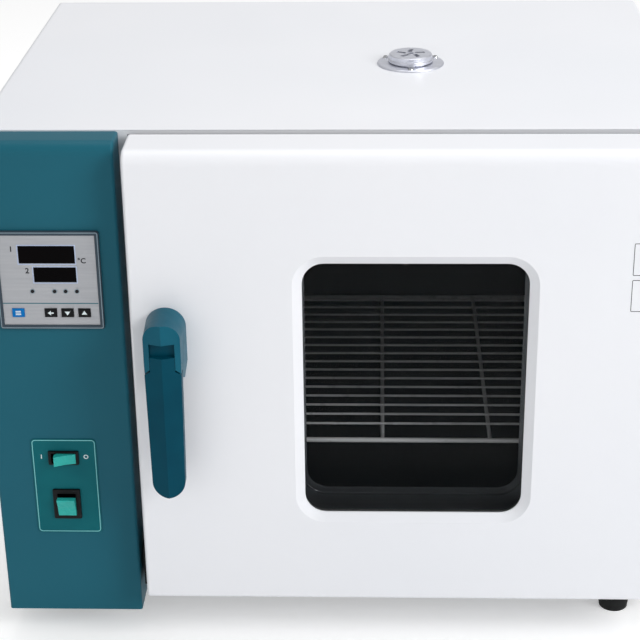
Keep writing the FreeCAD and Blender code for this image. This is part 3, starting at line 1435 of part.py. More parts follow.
def make_handle_base():
    """Cast base: wide and round-topped on the door, drawn in to a cap with two prongs."""
    body = new_body("handle_base")
    foot = sketch(body, "XZ", door_front)
    outline(foot, round_top(
        lever_x, lever_top, S.base_wide, S.base_tall, S.base_wide / 2 - 0.3, S.base_side, S.base_end))
    cap = sketch(body, "XZ", lever_front)
    outline(cap, round_top(
        lever_x, lever_top - 0.6, S.cap_wide, S.cap_tall, S.cap_round, S.cap_tall - 10.0, S.cap_wide))
    loft = body.newObject("PartDesign::AdditiveLoft", "cast_base")
    loft.Profile = foot
    loft.Sections = [cap]
    loft.Ruled = True
    doc.recompute()
    facets = sketch(body, "XY", lever_top - S.base_tall - 1.0)
    facet_cutter(facets, S.cap_wide / 2 + 1.0)
    pocket(body, facets, S.base_tall + 2.0, backwards=True)
    slot = sketch(body, "XZ", lever_front - 0.5)
    outline(slot, rectangle(
        lever_x - slot_wide / 2, lever_x + slot_wide / 2,
        lever_top - S.base_tall - 1.0, lever_top - S.recess_drop))
    pocket(body, slot, slot_back - lever_front + 0.5)
    step = sketch(body, "XZ", lever_front - 0.5)
    low, beside = lever_top - S.base_tall - 1.0, S.base_wide
    outer, inner = S.grip_wide / 2, slot_wide / 2
    shoulder = prong_end + S.shoulder_rise
    outline(step, [
        (lever_x - beside, low), (lever_x - beside, prong_end), (lever_x - outer, prong_end),
        (lever_x - inner, shoulder), (lever_x + inner, shoulder), (lever_x + outer, prong_end),
        (lever_x + beside, prong_end), (lever_x + beside, low)])
    pocket(body, step, S.grip_thick + S.lever_clear + 0.5)
    bore = sketch(body, "XZ", slot_back)
    circle(bore, lever_x, plunger_z, S.plunger_rod / 2 + S.running)
    pocket(body, bore, door_front - slot_back)
    sink = sketch(body, "XZ", slot_back)
    circle(sink, lever_x, plunger_z, S.plunger_head / 2 + S.running)
    pocket(body, sink, S.plunger_sink)
    pin = sketch(body, "YZ", lever_x - S.base_wide)
    circle(pin, pivot_y, pivot_z, S.pivot_pin / 2)
    pocket(body, pin, S.base_wide * 2, backwards=True)


def make_handle_grip():
    """The lever: a long paddle with two facets, a round tip, and an arm with a nose above its pivot."""
    body = new_body("handle_grip")
    x = lever_x
    tip_z = lever_top - S.grip_long
    shoulder = prong_end - S.shoulder_gap
    half_wide = S.grip_wide / 2
    half_tip = S.grip_tip / 2
    neck = slot_wide / 2 - S.running
    neck_top = lever_top - S.recess_drop - S.recess_high
    back = lever_front + S.grip_thick
    front_view = sketch(body, "XZ", back)
    outline(front_view, [
        (x - half_tip, tip_z, half_tip - 0.5), (x - half_wide, shoulder), (x - neck, shoulder + S.shoulder_rise),
        (x - neck, neck_top), (x + neck, neck_top), (x + neck, shoulder + S.shoulder_rise),
        (x + half_wide, shoulder), (x + half_tip, tip_z, half_tip - 0.5)])
    pad(body, front_view, S.grip_thick)
    facets = sketch(body, "XY", tip_z - 1.0)
    facet_cutter(facets, half_wide + 1.0)
    pocket(body, facets, S.grip_long, backwards=True)
    arm = sketch(body, "YZ", x - neck)
    outline(arm, [
        (lever_front + 7.0, neck_top - 8.0), (lever_front + 7.0, lever_top - S.recess_drop - 0.7),
        (lever_front + 9.5, lever_top - S.recess_drop - 0.7), (lever_front + 9.5, plunger_z + S.nose_round),
        (nose_y + S.nose_round, plunger_z + S.nose_round, 3.5),
        (nose_y + S.nose_round, plunger_z - S.nose_round, 3.5), (pivot_y + 5.5, pivot_z + 3.0),
        (pivot_y + 5.5, pivot_z - 6.0), (lever_front + 9.0, pivot_z - 12.0)])
    pad(body, arm, 2 * neck)
    pin = sketch(body, "YZ", x - half_wide)
    circle(pin, pivot_y, pivot_z, S.pivot_pin / 2 + S.fit)
    pocket(body, pin, S.grip_wide, backwards=True)


def make_lever_internals():
    span = S.cap_wide + 0.4
    rod("x", lever_x - span / 2, pivot_y, pivot_z, S.pivot_pin / 2, span, "handle_pin")
    head_front = nose_y + S.nose_round + S.running
    head = rod("y", lever_x, head_front, plunger_z, S.plunger_head / 2, 2.5, "plunger_button")
    stem_long = door_rear - head_front
    stem = rod("y", lever_x, head_front, plunger_z, S.plunger_rod / 2, stem_long, "plunger_stem")
    join("latch_plunger", [head, stem])
    sleeve = rod("y", lever_x, door_front, plunger_z, bush_radius, S.door_thick, "bush_tube")
    bore = S.plunger_rod / 2 + S.running
    way = rod("y", lever_x, door_front - 1.0, plunger_z, bore, S.door_thick + 2.0, "bush_way")
    cut("plunger_bush", sleeve, [way])


BUILDERS = (
    make_outer_casing, make_base_pan, make_rubber_feet, make_rear_panel, make_rear_panel_screws,
    make_front_frame, make_inner_chamber, make_insulation_blocks, make_compartment_wall,
    make_wire_shelf, make_duct_plate, make_heating_element, make_fan, make_fan_motor,
    make_temperature_probe, make_vent_base, make_vent_disc, make_vent_tube, make_vent_screws,
    make_control_fascia, make_switch_plate, fan_switch.make_frame, fan_switch.make_rocker,
    power_switch.make_frame, power_switch.make_rocker, make_controller_bezel, make_controller_face,
    make_controller_housing, make_display_lenses, make_indicator_lenses, make_keys,
    make_solid_state_relay, make_terminal_block, make_overheat_thermostat, make_power_inlet,
    make_earth_terminal, make_door_shell, make_door_inner_pan, make_door_insulation,
    make_outer_glass, make_window_seal, make_inner_glass, make_door_gasket, make_hinges,
    make_catch_magnets, make_door_guide_strip, make_handle_base, make_handle_grip,
    make_lever_internals,
)

SUB_PARTS = """
outer_casing base_pan rubber_feet rear_panel rear_panel_screws front_frame inner_chamber
insulation_blocks compartment_wall shelf_rail_left shelf_rail_right wire_shelf duct_plate
heating_element fan_impeller fan_shaft fan_motor motor_bracket temperature_probe vent_base
vent_disc vent_tube vent_screws control_fascia controller_bezel controller_face
controller_housing display_lenses indicator_lenses key_set key_shift key_down key_up
fan_switch_frame fan_rocker power_switch_frame power_rocker switch_plate solid_state_relay
terminal_block overheat_thermostat power_inlet earth_terminal door_shell door_inner_pan
door_insulation outer_glass window_seal inner_glass door_gasket hinge_cabinet_leaves
hinge_door_leaves hinge_pins catch_magnets door_guide_strip handle_base handle_grip
handle_pin latch_plunger plunger_bush
""".split()


def build():
    for builder in BUILDERS:
        builder()
    make_shelf_rail("shelf_rail_left", chamber_left, 1)
    make_shelf_rail("shelf_rail_right", chamber_right, -1)


def export():
    doc.recompute()
    for thing in doc.Objects:
        if "Invalid" in thing.State or "Error" in thing.State:
            raise ValueError(thing.Label + " did not compute: " + str(thing.State))
    labelled = {thing.Label: thing for thing in doc.Objects}
    os.makedirs("parts", exist_ok=True)
    for label in SUB_PARTS:
        shape = labelled[label].Shape
        if shape.isNull() or not shape.isValid() or not shape.Solids:
            raise ValueError(label + " has no valid solid")
    for label in SUB_PARTS:
        labelled[label].Shape.exportStep("parts/" + label + ".step")


build()
export()
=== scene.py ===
import json
import math

import bmesh
import bpy
from mathutils import Matrix, Vector


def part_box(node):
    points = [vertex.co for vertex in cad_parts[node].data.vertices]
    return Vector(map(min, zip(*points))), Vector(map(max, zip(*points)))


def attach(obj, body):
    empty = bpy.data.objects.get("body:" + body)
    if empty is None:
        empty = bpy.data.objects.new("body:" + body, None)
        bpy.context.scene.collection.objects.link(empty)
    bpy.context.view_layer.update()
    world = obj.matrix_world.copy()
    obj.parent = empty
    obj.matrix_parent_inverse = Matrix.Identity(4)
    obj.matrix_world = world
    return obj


# Looks of the laboratory convection oven. Metres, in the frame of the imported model.

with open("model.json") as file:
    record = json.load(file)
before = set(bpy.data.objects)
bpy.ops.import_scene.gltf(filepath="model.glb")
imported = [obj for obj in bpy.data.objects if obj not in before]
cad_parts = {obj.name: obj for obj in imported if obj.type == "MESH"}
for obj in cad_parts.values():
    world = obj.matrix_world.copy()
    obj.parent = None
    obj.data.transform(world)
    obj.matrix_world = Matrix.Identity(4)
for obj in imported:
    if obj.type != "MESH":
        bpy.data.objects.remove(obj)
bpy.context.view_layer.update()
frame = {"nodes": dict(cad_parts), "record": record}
nodes = frame["nodes"]
scene = bpy.context.scene
MM = 0.001


def colour(red, green, blue):
    """A colour written in screen values from 0 to 255, as a shader reads it."""
    values = []
    for value in (red, green, blue):
        value /= 255
        values.append(value / 12.92 if value <= 0.04 else ((value + 0.055) / 1.055) ** 2.4)
    return (*values, 1.0)


# Materials

class Surface:
    """A Principled material with procedural grain in its colour, roughness and relief."""

    def __init__(self, name, base, roughness, metallic=0.0, specular=0.5):
        self.material = bpy.data.materials.new(name)
        self.material.use_nodes = True
        self.tree = self.material.node_tree
        self.shader = self.tree.nodes["Principled BSDF"]
        self.base = base
        self.roughness = roughness
        self.shader.inputs["Base Color"].default_value = base
        self.shader.inputs["Roughness"].default_value = roughness
        self.shader.inputs["Metallic"].default_value = metallic
        self.shader.inputs["Specular IOR Level"].default_value = specular

    def link(self, output, target):
        """Joins two sockets of the material."""
        self.tree.links.new(output, target)

    def noise(self, scale, detail=3.0, stretch=(1.0, 1.0, 1.0)):
        """Noise over the object's own coordinates, finer along an axis with a larger stretch."""
        place = self.tree.nodes.new("ShaderNodeTexCoord")
        mapping = self.tree.nodes.new("ShaderNodeMapping")
        mapping.inputs["Scale"].default_value = stretch
        texture = self.tree.nodes.new("ShaderNodeTexNoise")
        texture.inputs["Scale"].default_value = scale
        texture.inputs["Detail"].default_value = detail
        self.link(place.outputs["Object"], mapping.inputs["Vector"])
        self.link(mapping.outputs["Vector"], texture.inputs["Vector"])
        return texture.outputs["Fac"]

    def mottle(self, other, scale, detail=2.0, stretch=(1.0, 1.0, 1.0)):
        """Lets the colour wander between the base colour and another one."""
        ramp = self.tree.nodes.new("ShaderNodeValToRGB")
        ramp.color_ramp.elements[0].position = 0.3
        ramp.color_ramp.elements[1].position = 0.7
        ramp.color_ramp.elements[0].color = self.base
        ramp.color_ramp.elements[1].color = other
        self.link(self.noise(scale, detail, stretch), ramp.inputs["Fac"])
        self.link(ramp.outputs["Color"], self.shader.inputs["Base Color"])
        return self

    def smear(self, spread, scale, stretch=(1.0, 1.0, 1.0)):
        """Lets the roughness vary by a spread on each side."""
        reach = self.tree.nodes.new("ShaderNodeMapRange")
        reach.inputs["From Min"].default_value = 0.3
        reach.inputs["From Max"].default_value = 0.7
        reach.inputs["To Min"].default_value = self.roughness - spread
        reach.inputs["To Max"].default_value = self.roughness + spread
        self.link(self.noise(scale, 3.0, stretch), reach.inputs["Value"])
        self.link(reach.outputs["Result"], self.shader.inputs["Roughness"])
        return self

    def relief(self, scale, depth, strength=0.5, detail=3.0, stretch=(1.0, 1.0, 1.0)):
        """Adds fine relief; the depth is in metres."""
        bump = self.tree.nodes.new("ShaderNodeBump")
        bump.inputs["Strength"].default_value = strength
        bump.inputs["Distance"].default_value = depth
        self.link(self.noise(scale, detail, stretch), bump.inputs["Height"])
        self.link(bump.outputs["Normal"], self.shader.inputs["Normal"])
        return self


# Stretches that draw the grain out along one axis
ALONG_X = (0.04, 1.0, 1.0)
ALONG_Y = (1.0, 0.04, 1.0)


def enamel(name, base, shade, roughness=0.34, specular=0.4):
    """Stoved paint: a slight orange peel and a faint change of tone."""
    paint = Surface(name, base, roughness, specular=specular)
    paint.mottle(shade, scale=2.5).smear(spread=0.04, scale=14.0)
    return paint.relief(scale=420.0, depth=0.12 * MM, strength=0.12).material


def brushed(name, base, shade, roughness, grain):
    """Rolled or brushed sheet: fine lines along one axis."""
    sheet = Surface(name, base, roughness, metallic=1.0)
    sheet.mottle(shade, scale=260.0, detail=4.0, stretch=grain)
    sheet.smear(spread=0.07, scale=340.0, stretch=grain)
    sheet.relief(scale=900.0, depth=0.06 * MM, strength=0.25, detail=4.0, stretch=grain)
    return sheet.material


def polished(name, base, shade, roughness=0.1, metallic=1.0):
    """Plated metal with faint marks of handling."""
    plate = Surface(name, base, roughness, metallic=metallic)
    plate.mottle(shade, scale=60.0).smear(spread=0.04, scale=90.0)
    return plate.relief(scale=160.0, depth=0.08 * MM, strength=0.08).material


def plastic(name, base, shade, roughness, texture=2600.0, specular=0.25):
    """Moulded plastic with the fine texture of its mould."""
    moulded = Surface(name, base, roughness, specular=specular)
    moulded.mottle(shade, scale=30.0).smear(spread=0.05, scale=120.0)
    return moulded.relief(scale=texture, depth=0.05 * MM, strength=0.2).material


def rubber(name, base, shade):
    """Dull rubber with a dusty, uneven face."""
    soft = Surface(name, base, roughness=0.78, specular=0.3)
    soft.mottle(shade, scale=90.0, detail=4.0)
    return soft.relief(scale=1500.0, depth=0.12 * MM, strength=0.4).material


def mineral_wool():
    """Pressed wool slabs with fibres on their faces."""
    fibre = Surface("mineral_wool", colour(214, 204, 168), roughness=0.95, specular=0.1)
    fibre.mottle(colour(182, 168, 126), scale=60.0, detail=6.0, stretch=ALONG_X)
    fibre.relief(scale=240.0, depth=1.2 * MM, strength=0.8, detail=6.0, stretch=ALONG_Y)
    return fibre.material


def pane():
    """Smoked float glass: a dark tint that light passes straight through."""
    glass = Surface("pane", colour(4, 8, 10), roughness=0.04, specular=0.25)
    glass.shader.inputs["Alpha"].default_value = 0.1
    return glass.smear(spread=0.015, scale=8.0).material


def printed_sheet():
    """The controller's face: satin foil with fine lines from side to side."""
    foil = Surface("face_grey", colour(168, 170, 174), roughness=0.38, metallic=0.35)
    foil.mottle(colour(160, 162, 167), scale=500.0, detail=3.0, stretch=ALONG_X)
    foil.smear(spread=0.05, scale=400.0, stretch=ALONG_X)
    return foil.relief(scale=900.0, depth=0.03 * MM, strength=0.2, stretch=ALONG_X).material


# Name of the finish: its maker, two tones in screen values and its own settings.
FINISHES = {
    "white_enamel": (enamel, (236, 237, 241), (231, 233, 238), {}),
    "teal_column": (enamel, (30, 96, 113), (26, 88, 104), {"roughness": 0.36, "specular": 0.12}),
    "motor_black": (enamel, (44, 45, 48), (34, 35, 37), {"roughness": 0.5}),
    "galvanised": (brushed, (166, 169, 172), (138, 142, 147),
                   {"roughness": 0.42, "grain": ALONG_Y}),
    "stainless": (brushed, (168, 170, 172), (150, 152, 154), {"roughness": 0.3, "grain": ALONG_Y}),
    "heater_sheath": (brushed, (96, 84, 76), (66, 60, 62), {"roughness": 0.45, "grain": ALONG_X}),
    "plain_aluminium": (brushed, (196, 198, 200), (178, 180, 183),
                        {"roughness": 0.33, "grain": ALONG_X}),
    "plain_brass": (brushed, (204, 168, 92), (180, 144, 74), {"roughness": 0.3, "grain": ALONG_X}),
    "bright_chrome": (polished, (216, 217, 220), (202, 204, 208), {}),
    "teal_handle": (plastic, (0, 68, 86), (0, 61, 79),
                    {"roughness": 0.38, "texture": 1800.0, "specular": 0.07}),
    "teal_plate": (plastic, (12, 100, 108), (9, 92, 101),
                   {"roughness": 0.4, "texture": 2200.0, "specular": 0.1}),
    "rocker_teal": (plastic, (48, 184, 174), (38, 168, 160),
                    {"roughness": 0.26, "texture": 900.0, "specular": 0.25}),
    "black_plastic": (plastic, (15, 16, 18), (11, 12, 14),
                      {"roughness": 0.45, "texture": 2600.0, "specular": 0.15}),
    "bezel_grey": (plastic, (56, 70, 81), (50, 63, 74), {"roughness": 0.4}),
    "display_dark": (plastic, (5, 3, 4), (3, 2, 3),
                     {"roughness": 0.2, "texture": 300.0, "specular": 0.03}),
    "lamp_lens": (plastic, (26, 22, 26), (20, 18, 22),
                  {"roughness": 0.25, "texture": 400.0, "specular": 0.2}),
    "key_blue": (plastic, (0, 112, 184), (0, 104, 174),
                 {"roughness": 0.36, "texture": 2600.0, "specular": 0.12}),
    "key_black": (plastic, (14, 15, 18), (11, 12, 15),
                  {"roughness": 0.36, "texture": 2600.0, "specular": 0.12}),
    # Painted shade: the chamber's stainless steel is given a dark colour for the shade inside the
    # closed oven.
    "chamber_steel": (polished, (56, 65, 70), (52, 61, 66), {"roughness": 0.36}),
    # Painted shade: the door's stainless inner pan is given a darker grey for the shade inside the
    # closed oven.
    "pan_steel": (polished, (128, 132, 136), (122, 126, 130), {"roughness": 0.34}),
    # Painted sheen: the chrome wire is drawn near white and mostly not metallic, so that it shows
    # bright like its highlights inside the dark chamber.
    "shelf_chrome": (polished, (248, 250, 252), (240, 243, 246),
                     {"roughness": 0.3, "metallic": 0.15}),
    # Painted light: a lighter copy of the handle's teal, for the light on the front of the handle
    # base.
    "teal_base": (plastic, (6, 88, 108), (3, 81, 101),
                  {"roughness": 0.34, "texture": 1800.0, "specular": 0.14}),
    "vent_metal": (brushed, (226, 228, 236), (216, 218, 227),
                   {"roughness": 0.44, "grain": ALONG_X}),
    "pale_print": (plastic, (178, 190, 214), (170, 183, 208), {"roughness": 0.5}),
    "divider_print": (plastic, (62, 112, 124), (54, 103, 116), {"roughness": 0.5}),
    "silicone": (rubber, (74, 76, 78), (62, 64, 66), {}),
    "black_rubber": (rubber, (20, 21, 22), (14, 15, 16), {}),
    "white_print": (plastic, (228, 238, 240), (216, 229, 232), {"roughness": 0.5}),
    "cyan_print": (plastic, (132, 204, 206), (120, 194, 198), {"roughness": 0.5}),
    # dark print for the marks and labels, and the painted shade in the screws' cross slots
    "dark_print": (plastic, (24, 25, 29), (18, 19, 23), {"roughness": 0.5}),
    # grey for the lamp rims, and the painted highlight along the bezel's edge
    "rim_grey": (plastic, (136, 154, 164), (124, 143, 154), {"roughness": 0.4}),
}
MATERIALS = {"mineral_wool": mineral_wool(), "pane": pane(), "face_grey": printed_sheet()}
for finish, (make, base, shade, settings) in FINISHES.items():
    MATERIALS[finish] = make(finish, colour(*base), colour(*shade), **settings)


# The CAD nodes: finish, merged facets and a small worked edge

EDGE = 0.35 * MM
SMALL_EDGE = 0.12 * MM
SMALL_SPAN = 30 * MM
EDGE_ANGLE = math.radians(28)
SAME_POINT = 0.001 * MM
OWN_FINISH = {
    # inner chamber, duct plate and shelf rails: the dark steel with painted shade
    "inner_chamber": "chamber_steel", "duct_plate": "chamber_steel",
    "shelf_rail_left": "chamber_steel", "shelf_rail_right": "chamber_steel",
    # door inner pan: darker steel with painted shade
    # wire shelf: near-white, with painted sheen
    "door_inner_pan": "pan_steel", "wire_shelf": "shelf_chrome",
    # handle base: the lighter teal with painted light
    "handle_base": "teal_base", "vent_base": "vent_metal", "vent_disc": "vent_metal"}
WIDE_EDGES = {"handle_base": 0.7 * MM, "handle_grip": 0.7 * MM}
NO_EDGES = ("controller_face", "outer_glass", "inner_glass")


def dress_node(name, slot):
    """Gives a node its finish, smooth faces and a small worked edge."""
    node = nodes[name]
    node.data.materials.clear()
    node.data.materials.append(MATERIALS[OWN_FINISH.get(name, slot)])
    for face in node.data.polygons:
        face.use_smooth = True
    weld = node.modifiers.new("weld", "WELD")
    weld.merge_threshold = SAME_POINT
    low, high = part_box(name)
    if name not in NO_EDGES:
        edge = node.modifiers.new("edge", "BEVEL")
        edge.width = WIDE_EDGES.get(name, SMALL_EDGE if max(high - low) < SMALL_SPAN else EDGE)
        edge.segments = 2
        edge.limit_method = "ANGLE"
        edge.angle_limit = EDGE_ANGLE
        edge.use_clamp_overlap = True
    normals = node.modifiers.new("normals", "WEIGHTED_NORMAL")
    normals.keep_sharp = True


for entry in frame["record"]["subparts"]:
    dress_node(entry["node"], entry["material_slot"])


# Printed marks and a painted highlight: thin raised meshes that lie on the face they are drawn on

PRINT = 0.12 * MM
SINK = 0.02 * MM
LEAST_BEND = 0.05 * MM
# Shares of the height of a letter: how much bolder it is drawn, and its height in its font
BOLD = 0.03
CAPITAL = 0.7


def finish_piece(mesh, name, material, body):
    """Makes a piece of a mesh, which moves with a body."""
    piece = bpy.data.objects.new(name, mesh)
    scene.collection.objects.link(piece)
    piece.data.materials.clear()
    piece.data.materials.append(MATERIALS[material])
    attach(piece, body)
    return piece


def solid_from_loops(name, loops, face_y):
    """A flat plate between an outline and, where given, an inner one of as many points."""
    work = bmesh.new()
    front = []
    for loop in loops:
        front.append([work.verts.new((x, face_y - PRINT, z)) for x, z in loop])
    if len(front) == 1:
        faces = [work.faces.new(front[0])]
    else:
        count = len(front[0])
        faces = []
        for i in range(count):
            j = (i + 1) % count
            faces.append(work.faces.new((front[0][i], front[0][j], front[1][j], front[1][i])))
    grown = bmesh.ops.extrude_face_region(work, geom=faces)
    for vertex in [item for item in grown["geom"] if isinstance(item, bmesh.types.BMVert)]:
        vertex.co.y = face_y + SINK
    bmesh.ops.recalc_face_normals(work, faces=work.faces)
    mesh = bpy.data.meshes.new(name)
    work.to_mesh(mesh)
    work.free()
    return mesh


def round_box(x, z, wide, high, bend, steps=6):
    """Points of a rectangle with round corners, anticlockwise from its upper right corner."""
    points = []
    for quarter, (side_x, side_z) in enumerate(((1, 1), (-1, 1), (-1, -1), (1, -1))):
        centre_x = x + side_x * (wide / 2 - bend)
        centre_z = z + side_z * (high / 2 - bend)
        for step in range(steps + 1):
            angle = math.pi / 2 * (quarter + step / steps)
            points.append((centre_x + bend * math.cos(angle), centre_z + bend * math.sin(angle)))
    return points


def print_and_highlight_ring(name, x, z, wide, high, bend, line, face_y, material, body="cabinet"):
    """An outline with round corners: print, and also the bezel's painted highlight."""
    outer = round_box(x, z, wide, high, bend)
    inner = round_box(x, z, wide - 2 * line, high - 2 * line, max(bend - line, LEAST_BEND))
    return finish_piece(solid_from_loops(name, (outer, inner), face_y), name, material, body)


def printed_shape(name, points, face_y, material, body="cabinet"):
    """A printed sign, filled in."""
    return finish_piece(solid_from_loops(name, (points,), face_y), name, material, body)


def printed_text(name, words, x, z, high, face_y, material, body="cabinet"):
    """Plain letters, centred on a place on a face that looks forwards."""
    curve = bpy.data.curves.new(name, "FONT")
    curve.body = words
    curve.size = high / CAPITAL
    curve.align_x = "CENTER"
    curve.align_y = "CENTER"
    curve.extrude = PRINT / 2
    curve.offset = high * BOLD
    curve.resolution_u = 4
    writer = bpy.data.objects.new(name + "_curve", curve)
    mesh = bpy.data.meshes.new_from_object(writer)
    bpy.data.objects.remove(writer)
    upright = Matrix.Rotation(math.pi / 2, 4, "X")
    mesh.transform(Matrix.Translation((x, face_y - PRINT / 2, z)) @ upright)
    return finish_piece(mesh, name, material, body)


def middle(name):
    """The middle of a node's box."""
    low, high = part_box(name)
    return (low + high) / 2


# Controller face: the tables hold millimetres from the middle of the bezel

bezel = middle("controller_bezel")
face_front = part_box("controller_face")[0].y
bezel_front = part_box("controller_bezel")[0].y
BEZEL_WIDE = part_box("controller_bezel")[1].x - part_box("controller_bezel")[0].x
# Painted highlight: a light ring along the bezel's rounded outer edge, drawn as a thin layer on its
# front.
HIGHLIGHT_INSET = 0.8 * MM
HIGHLIGHT_BEND = 1.8 * MM
FINE_LINE = 0.5 * MM
BROAD_LINE = 0.7 * MM
HIGHLIGHT_WIDE = BEZEL_WIDE - 2 * HIGHLIGHT_INSET
print_and_highlight_ring("bezel_rim", bezel.x, bezel.z, HIGHLIGHT_WIDE, HIGHLIGHT_WIDE, HIGHLIGHT_BEND, BROAD_LINE,
             bezel_front, "rim_grey")
DIVIDER_RISE = -21.3 * MM
DIVIDER_SHIFT = -0.2 * MM
divider = round_box(bezel.x + DIVIDER_SHIFT, bezel.z + DIVIDER_RISE, 83 * MM, 0.9 * MM, 0.3 * MM)
printed_shape("face_divider", divider, face_front, "divider_print")
# Words, their place and their height
DISPLAY_MARKS = (("1", -30.5, 29.0, 4.8), ("2", -18.0, 9.0, 4.8), ("°C", 29.6, 18.3, 4.6))
for number, (words, dx, dz, high) in enumerate(DISPLAY_MARKS, 1):
    printed_text("face_mark_%d" % number, words, bezel.x + dx * MM, bezel.z + dz * MM, high * MM,
                 face_front, "dark_print")
# Display, its place, width and height
DISPLAYS = (("upper", -0.4, 24.0, 48.6, 16.5), ("lower", 5.7, 5.4, 36.8, 14.2))
FRAME_MARGIN = 1.0
FRAME_BEND = 0.6 * MM
FRAME_LINE = 1.0 * MM
for label, dx, dz, wide, high in DISPLAYS:
    print_and_highlight_ring(label + "_display_frame", bezel.x + dx * MM, bezel.z + dz * MM,
                 (wide + 2 * FRAME_MARGIN) * MM, (high + 2 * FRAME_MARGIN) * MM,
                 FRAME_BEND, FRAME_LINE, face_front, "pale_print")
LAMP_PLACES = (-14.9, 4.2, 13.8, 23.6)
LAMP_DROP = 10.0 * MM
LAMP_RING = 4.4 * MM
for number, dx in enumerate(LAMP_PLACES, 1):
    print_and_highlight_ring("lamp_ring_%d" % number, bezel.x + dx * MM, bezel.z - LAMP_DROP, LAMP_RING, LAMP_RING,
                 LAMP_RING / 2, FINE_LINE, face_front, "rim_grey")


def key_sign(body, node, shapes):
    """White signs on a key, drawn in millimetres from the middle of the key."""
    centre = middle(node)
    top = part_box(node)[0].y
    for number, shape in enumerate(shapes, 1):
        points = [(centre.x + x * MM, centre.z + z * MM) for x, z in shape]
        printed_shape("%s_sign_%d" % (node, number), points, top, "white_print", body)


def bar(x, z, wide, high):
    """Corners of an upright rectangle."""
    return ((x - wide / 2, z - high / 2), (x + wide / 2, z - high / 2),
            (x + wide / 2, z + high / 2), (x - wide / 2, z + high / 2))


KEY_SIGNS = {
    "set": [bar(0, 1.5, 4.6, 0.8), bar(0, 0.0, 4.6, 0.8), bar(0, -1.5, 4.6, 0.8)],
    "shift": [((-2.6, 0), (0.2, -2.1), (0.2, 2.1)), bar(1.4, 0.0, 2.2, 1.2)],
    "down": [((0, -2.2), (2.4, 1.4), (-2.4, 1.4))],
    "up": [((0, 2.2), (-2.4, -1.4), (2.4, -1.4))]}
for key, shapes in KEY_SIGNS.items():
    key_sign(key + "_key", "key_" + key, shapes)

# Switch plate

plate = middle("switch_plate")
plate_low, plate_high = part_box("switch_plate")
OUTLINE_INSET = 1.0 * MM
OUTLINE_BEND = 3.2 * MM
print_and_highlight_ring("plate_outline", plate.x, plate.z, plate_high.x - plate_low.x - 2 * OUTLINE_INSET,
             plate_high.z - plate_low.z - 2 * OUTLINE_INSET, OUTLINE_BEND, BROAD_LINE,
             plate_low.y, "cyan_print")
fan_frame = middle("fan_switch_frame")
MARK_SIDE = 20.2 * MM
MARK_RISE = 0.5 * MM
MARK_HIGH = 4.0 * MM
for label, words, side in (("on", "I", -1), ("off", "O", 1)):
    printed_text("fan_mark_" + label, words, fan_frame.x + side * MARK_SIDE, fan_frame.z + MARK_RISE,
                 MARK_HIGH, plate_low.y, "white_print")

# Two bare outlined labels on the door, by the heights of their lower and upper edges

door_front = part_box("door_shell")[0].y
LABEL_HEIGHTS = ((0.380, 0.409), (0.347, 0.376))
LABEL_X = 0.2663
LABEL_WIDE = 0.036
LABEL_BEND = 1.0 * MM
for number, (low_z, high_z) in enumerate(LABEL_HEIGHTS, 1):
    print_and_highlight_ring("door_label_%d" % number, LABEL_X, (low_z + high_z) / 2, LABEL_WIDE, high_z - low_z,
                 LABEL_BEND, FINE_LINE, door_front, "dark_print", "door")

# Cross recesses in the small screws, drawn as painted shade

SLOT_SIZE = (2.6 * MM, 0.5 * MM, 0.12 * MM)
SLOT_TURN = 0.6
SCREW_RING = 27.3 * MM
SCREW_ANGLES = (30, 150, 270)


def cross_recess_shade(name, x, y, z, body="cabinet"):
    """Two crossed slots, drawn as thin dark bars of painted shade on top of a screw that points up."""
    work = bmesh.new()
    for turn in (SLOT_TURN, SLOT_TURN + math.pi / 2):
        place = Matrix.Translation((x, y, z)) @ Matrix.Rotation(turn, 4, "Z")
        size = Matrix.Diagonal((*SLOT_SIZE, 1.0))
        bmesh.ops.create_cube(work, size=1.0, matrix=place @ size)
    mesh = bpy.data.meshes.new(name)
    work.to_mesh(mesh)
    work.free()
    return finish_piece(mesh, name, "dark_print", body)


vent = middle("vent_base")
screw_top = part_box("vent_screws")[1].z
for number, angle in enumerate(SCREW_ANGLES, 1):
    turn = math.radians(angle)
    cross_recess_shade("vent_screw_slot_shade_%d" % number, vent.x + SCREW_RING * math.cos(turn),
                 vent.y + SCREW_RING * math.sin(turn), screw_top)

# Stage: floor, lights, world and camera

FLOOR_REACH = 30.0
FLOOR_TONE = (0.86, 0.86, 0.86, 1.0)
FLOOR_GLOW = 0.34
WORLD_LIT = 0.5
WORLD_SEEN = 1.0
CAMERA_PLACE = (0.0353, -1.5470, 0.9471)
CAMERA_PITCH = math.radians(24.731)
CAMERA_YAW = math.radians(-2.117)
CAMERA_ROLL = math.radians(-0.754)
CAMERA_LENS = 96.22


def white_when_seen(tree, lit, strength):
    """Adds a plain glow that only the camera, reflections and glass see."""
    rays = tree.nodes.new("ShaderNodeLightPath")
    glow = tree.nodes.new("ShaderNodeEmission")
    both = tree.nodes.new("ShaderNodeAddShader")
    seen = tree.nodes.new("ShaderNodeMath")
    seen.operation = "MAXIMUM"
    seen_more = tree.nodes.new("ShaderNodeMath")
    seen_more.operation = "MAXIMUM"
    scale = tree.nodes.new("ShaderNodeMath")
    scale.operation = "MULTIPLY"
    scale.inputs[1].default_value = strength
    tree.links.new(rays.outputs["Is Camera Ray"], seen.inputs[0])
    tree.links.new(rays.outputs["Is Glossy Ray"], seen.inputs[1])
    tree.links.new(seen.outputs["Value"], seen_more.inputs[0])
    tree.links.new(rays.outputs["Is Transmission Ray"], seen_more.inputs[1])
    tree.links.new(seen_more.outputs["Value"], scale.inputs[0])
    tree.links.new(scale.outputs["Value"], glow.inputs["Strength"])
    tree.links.new(lit, both.inputs[0])
    tree.links.new(glow.outputs["Emission"], both.inputs[1])
    return both.outputs["Shader"]


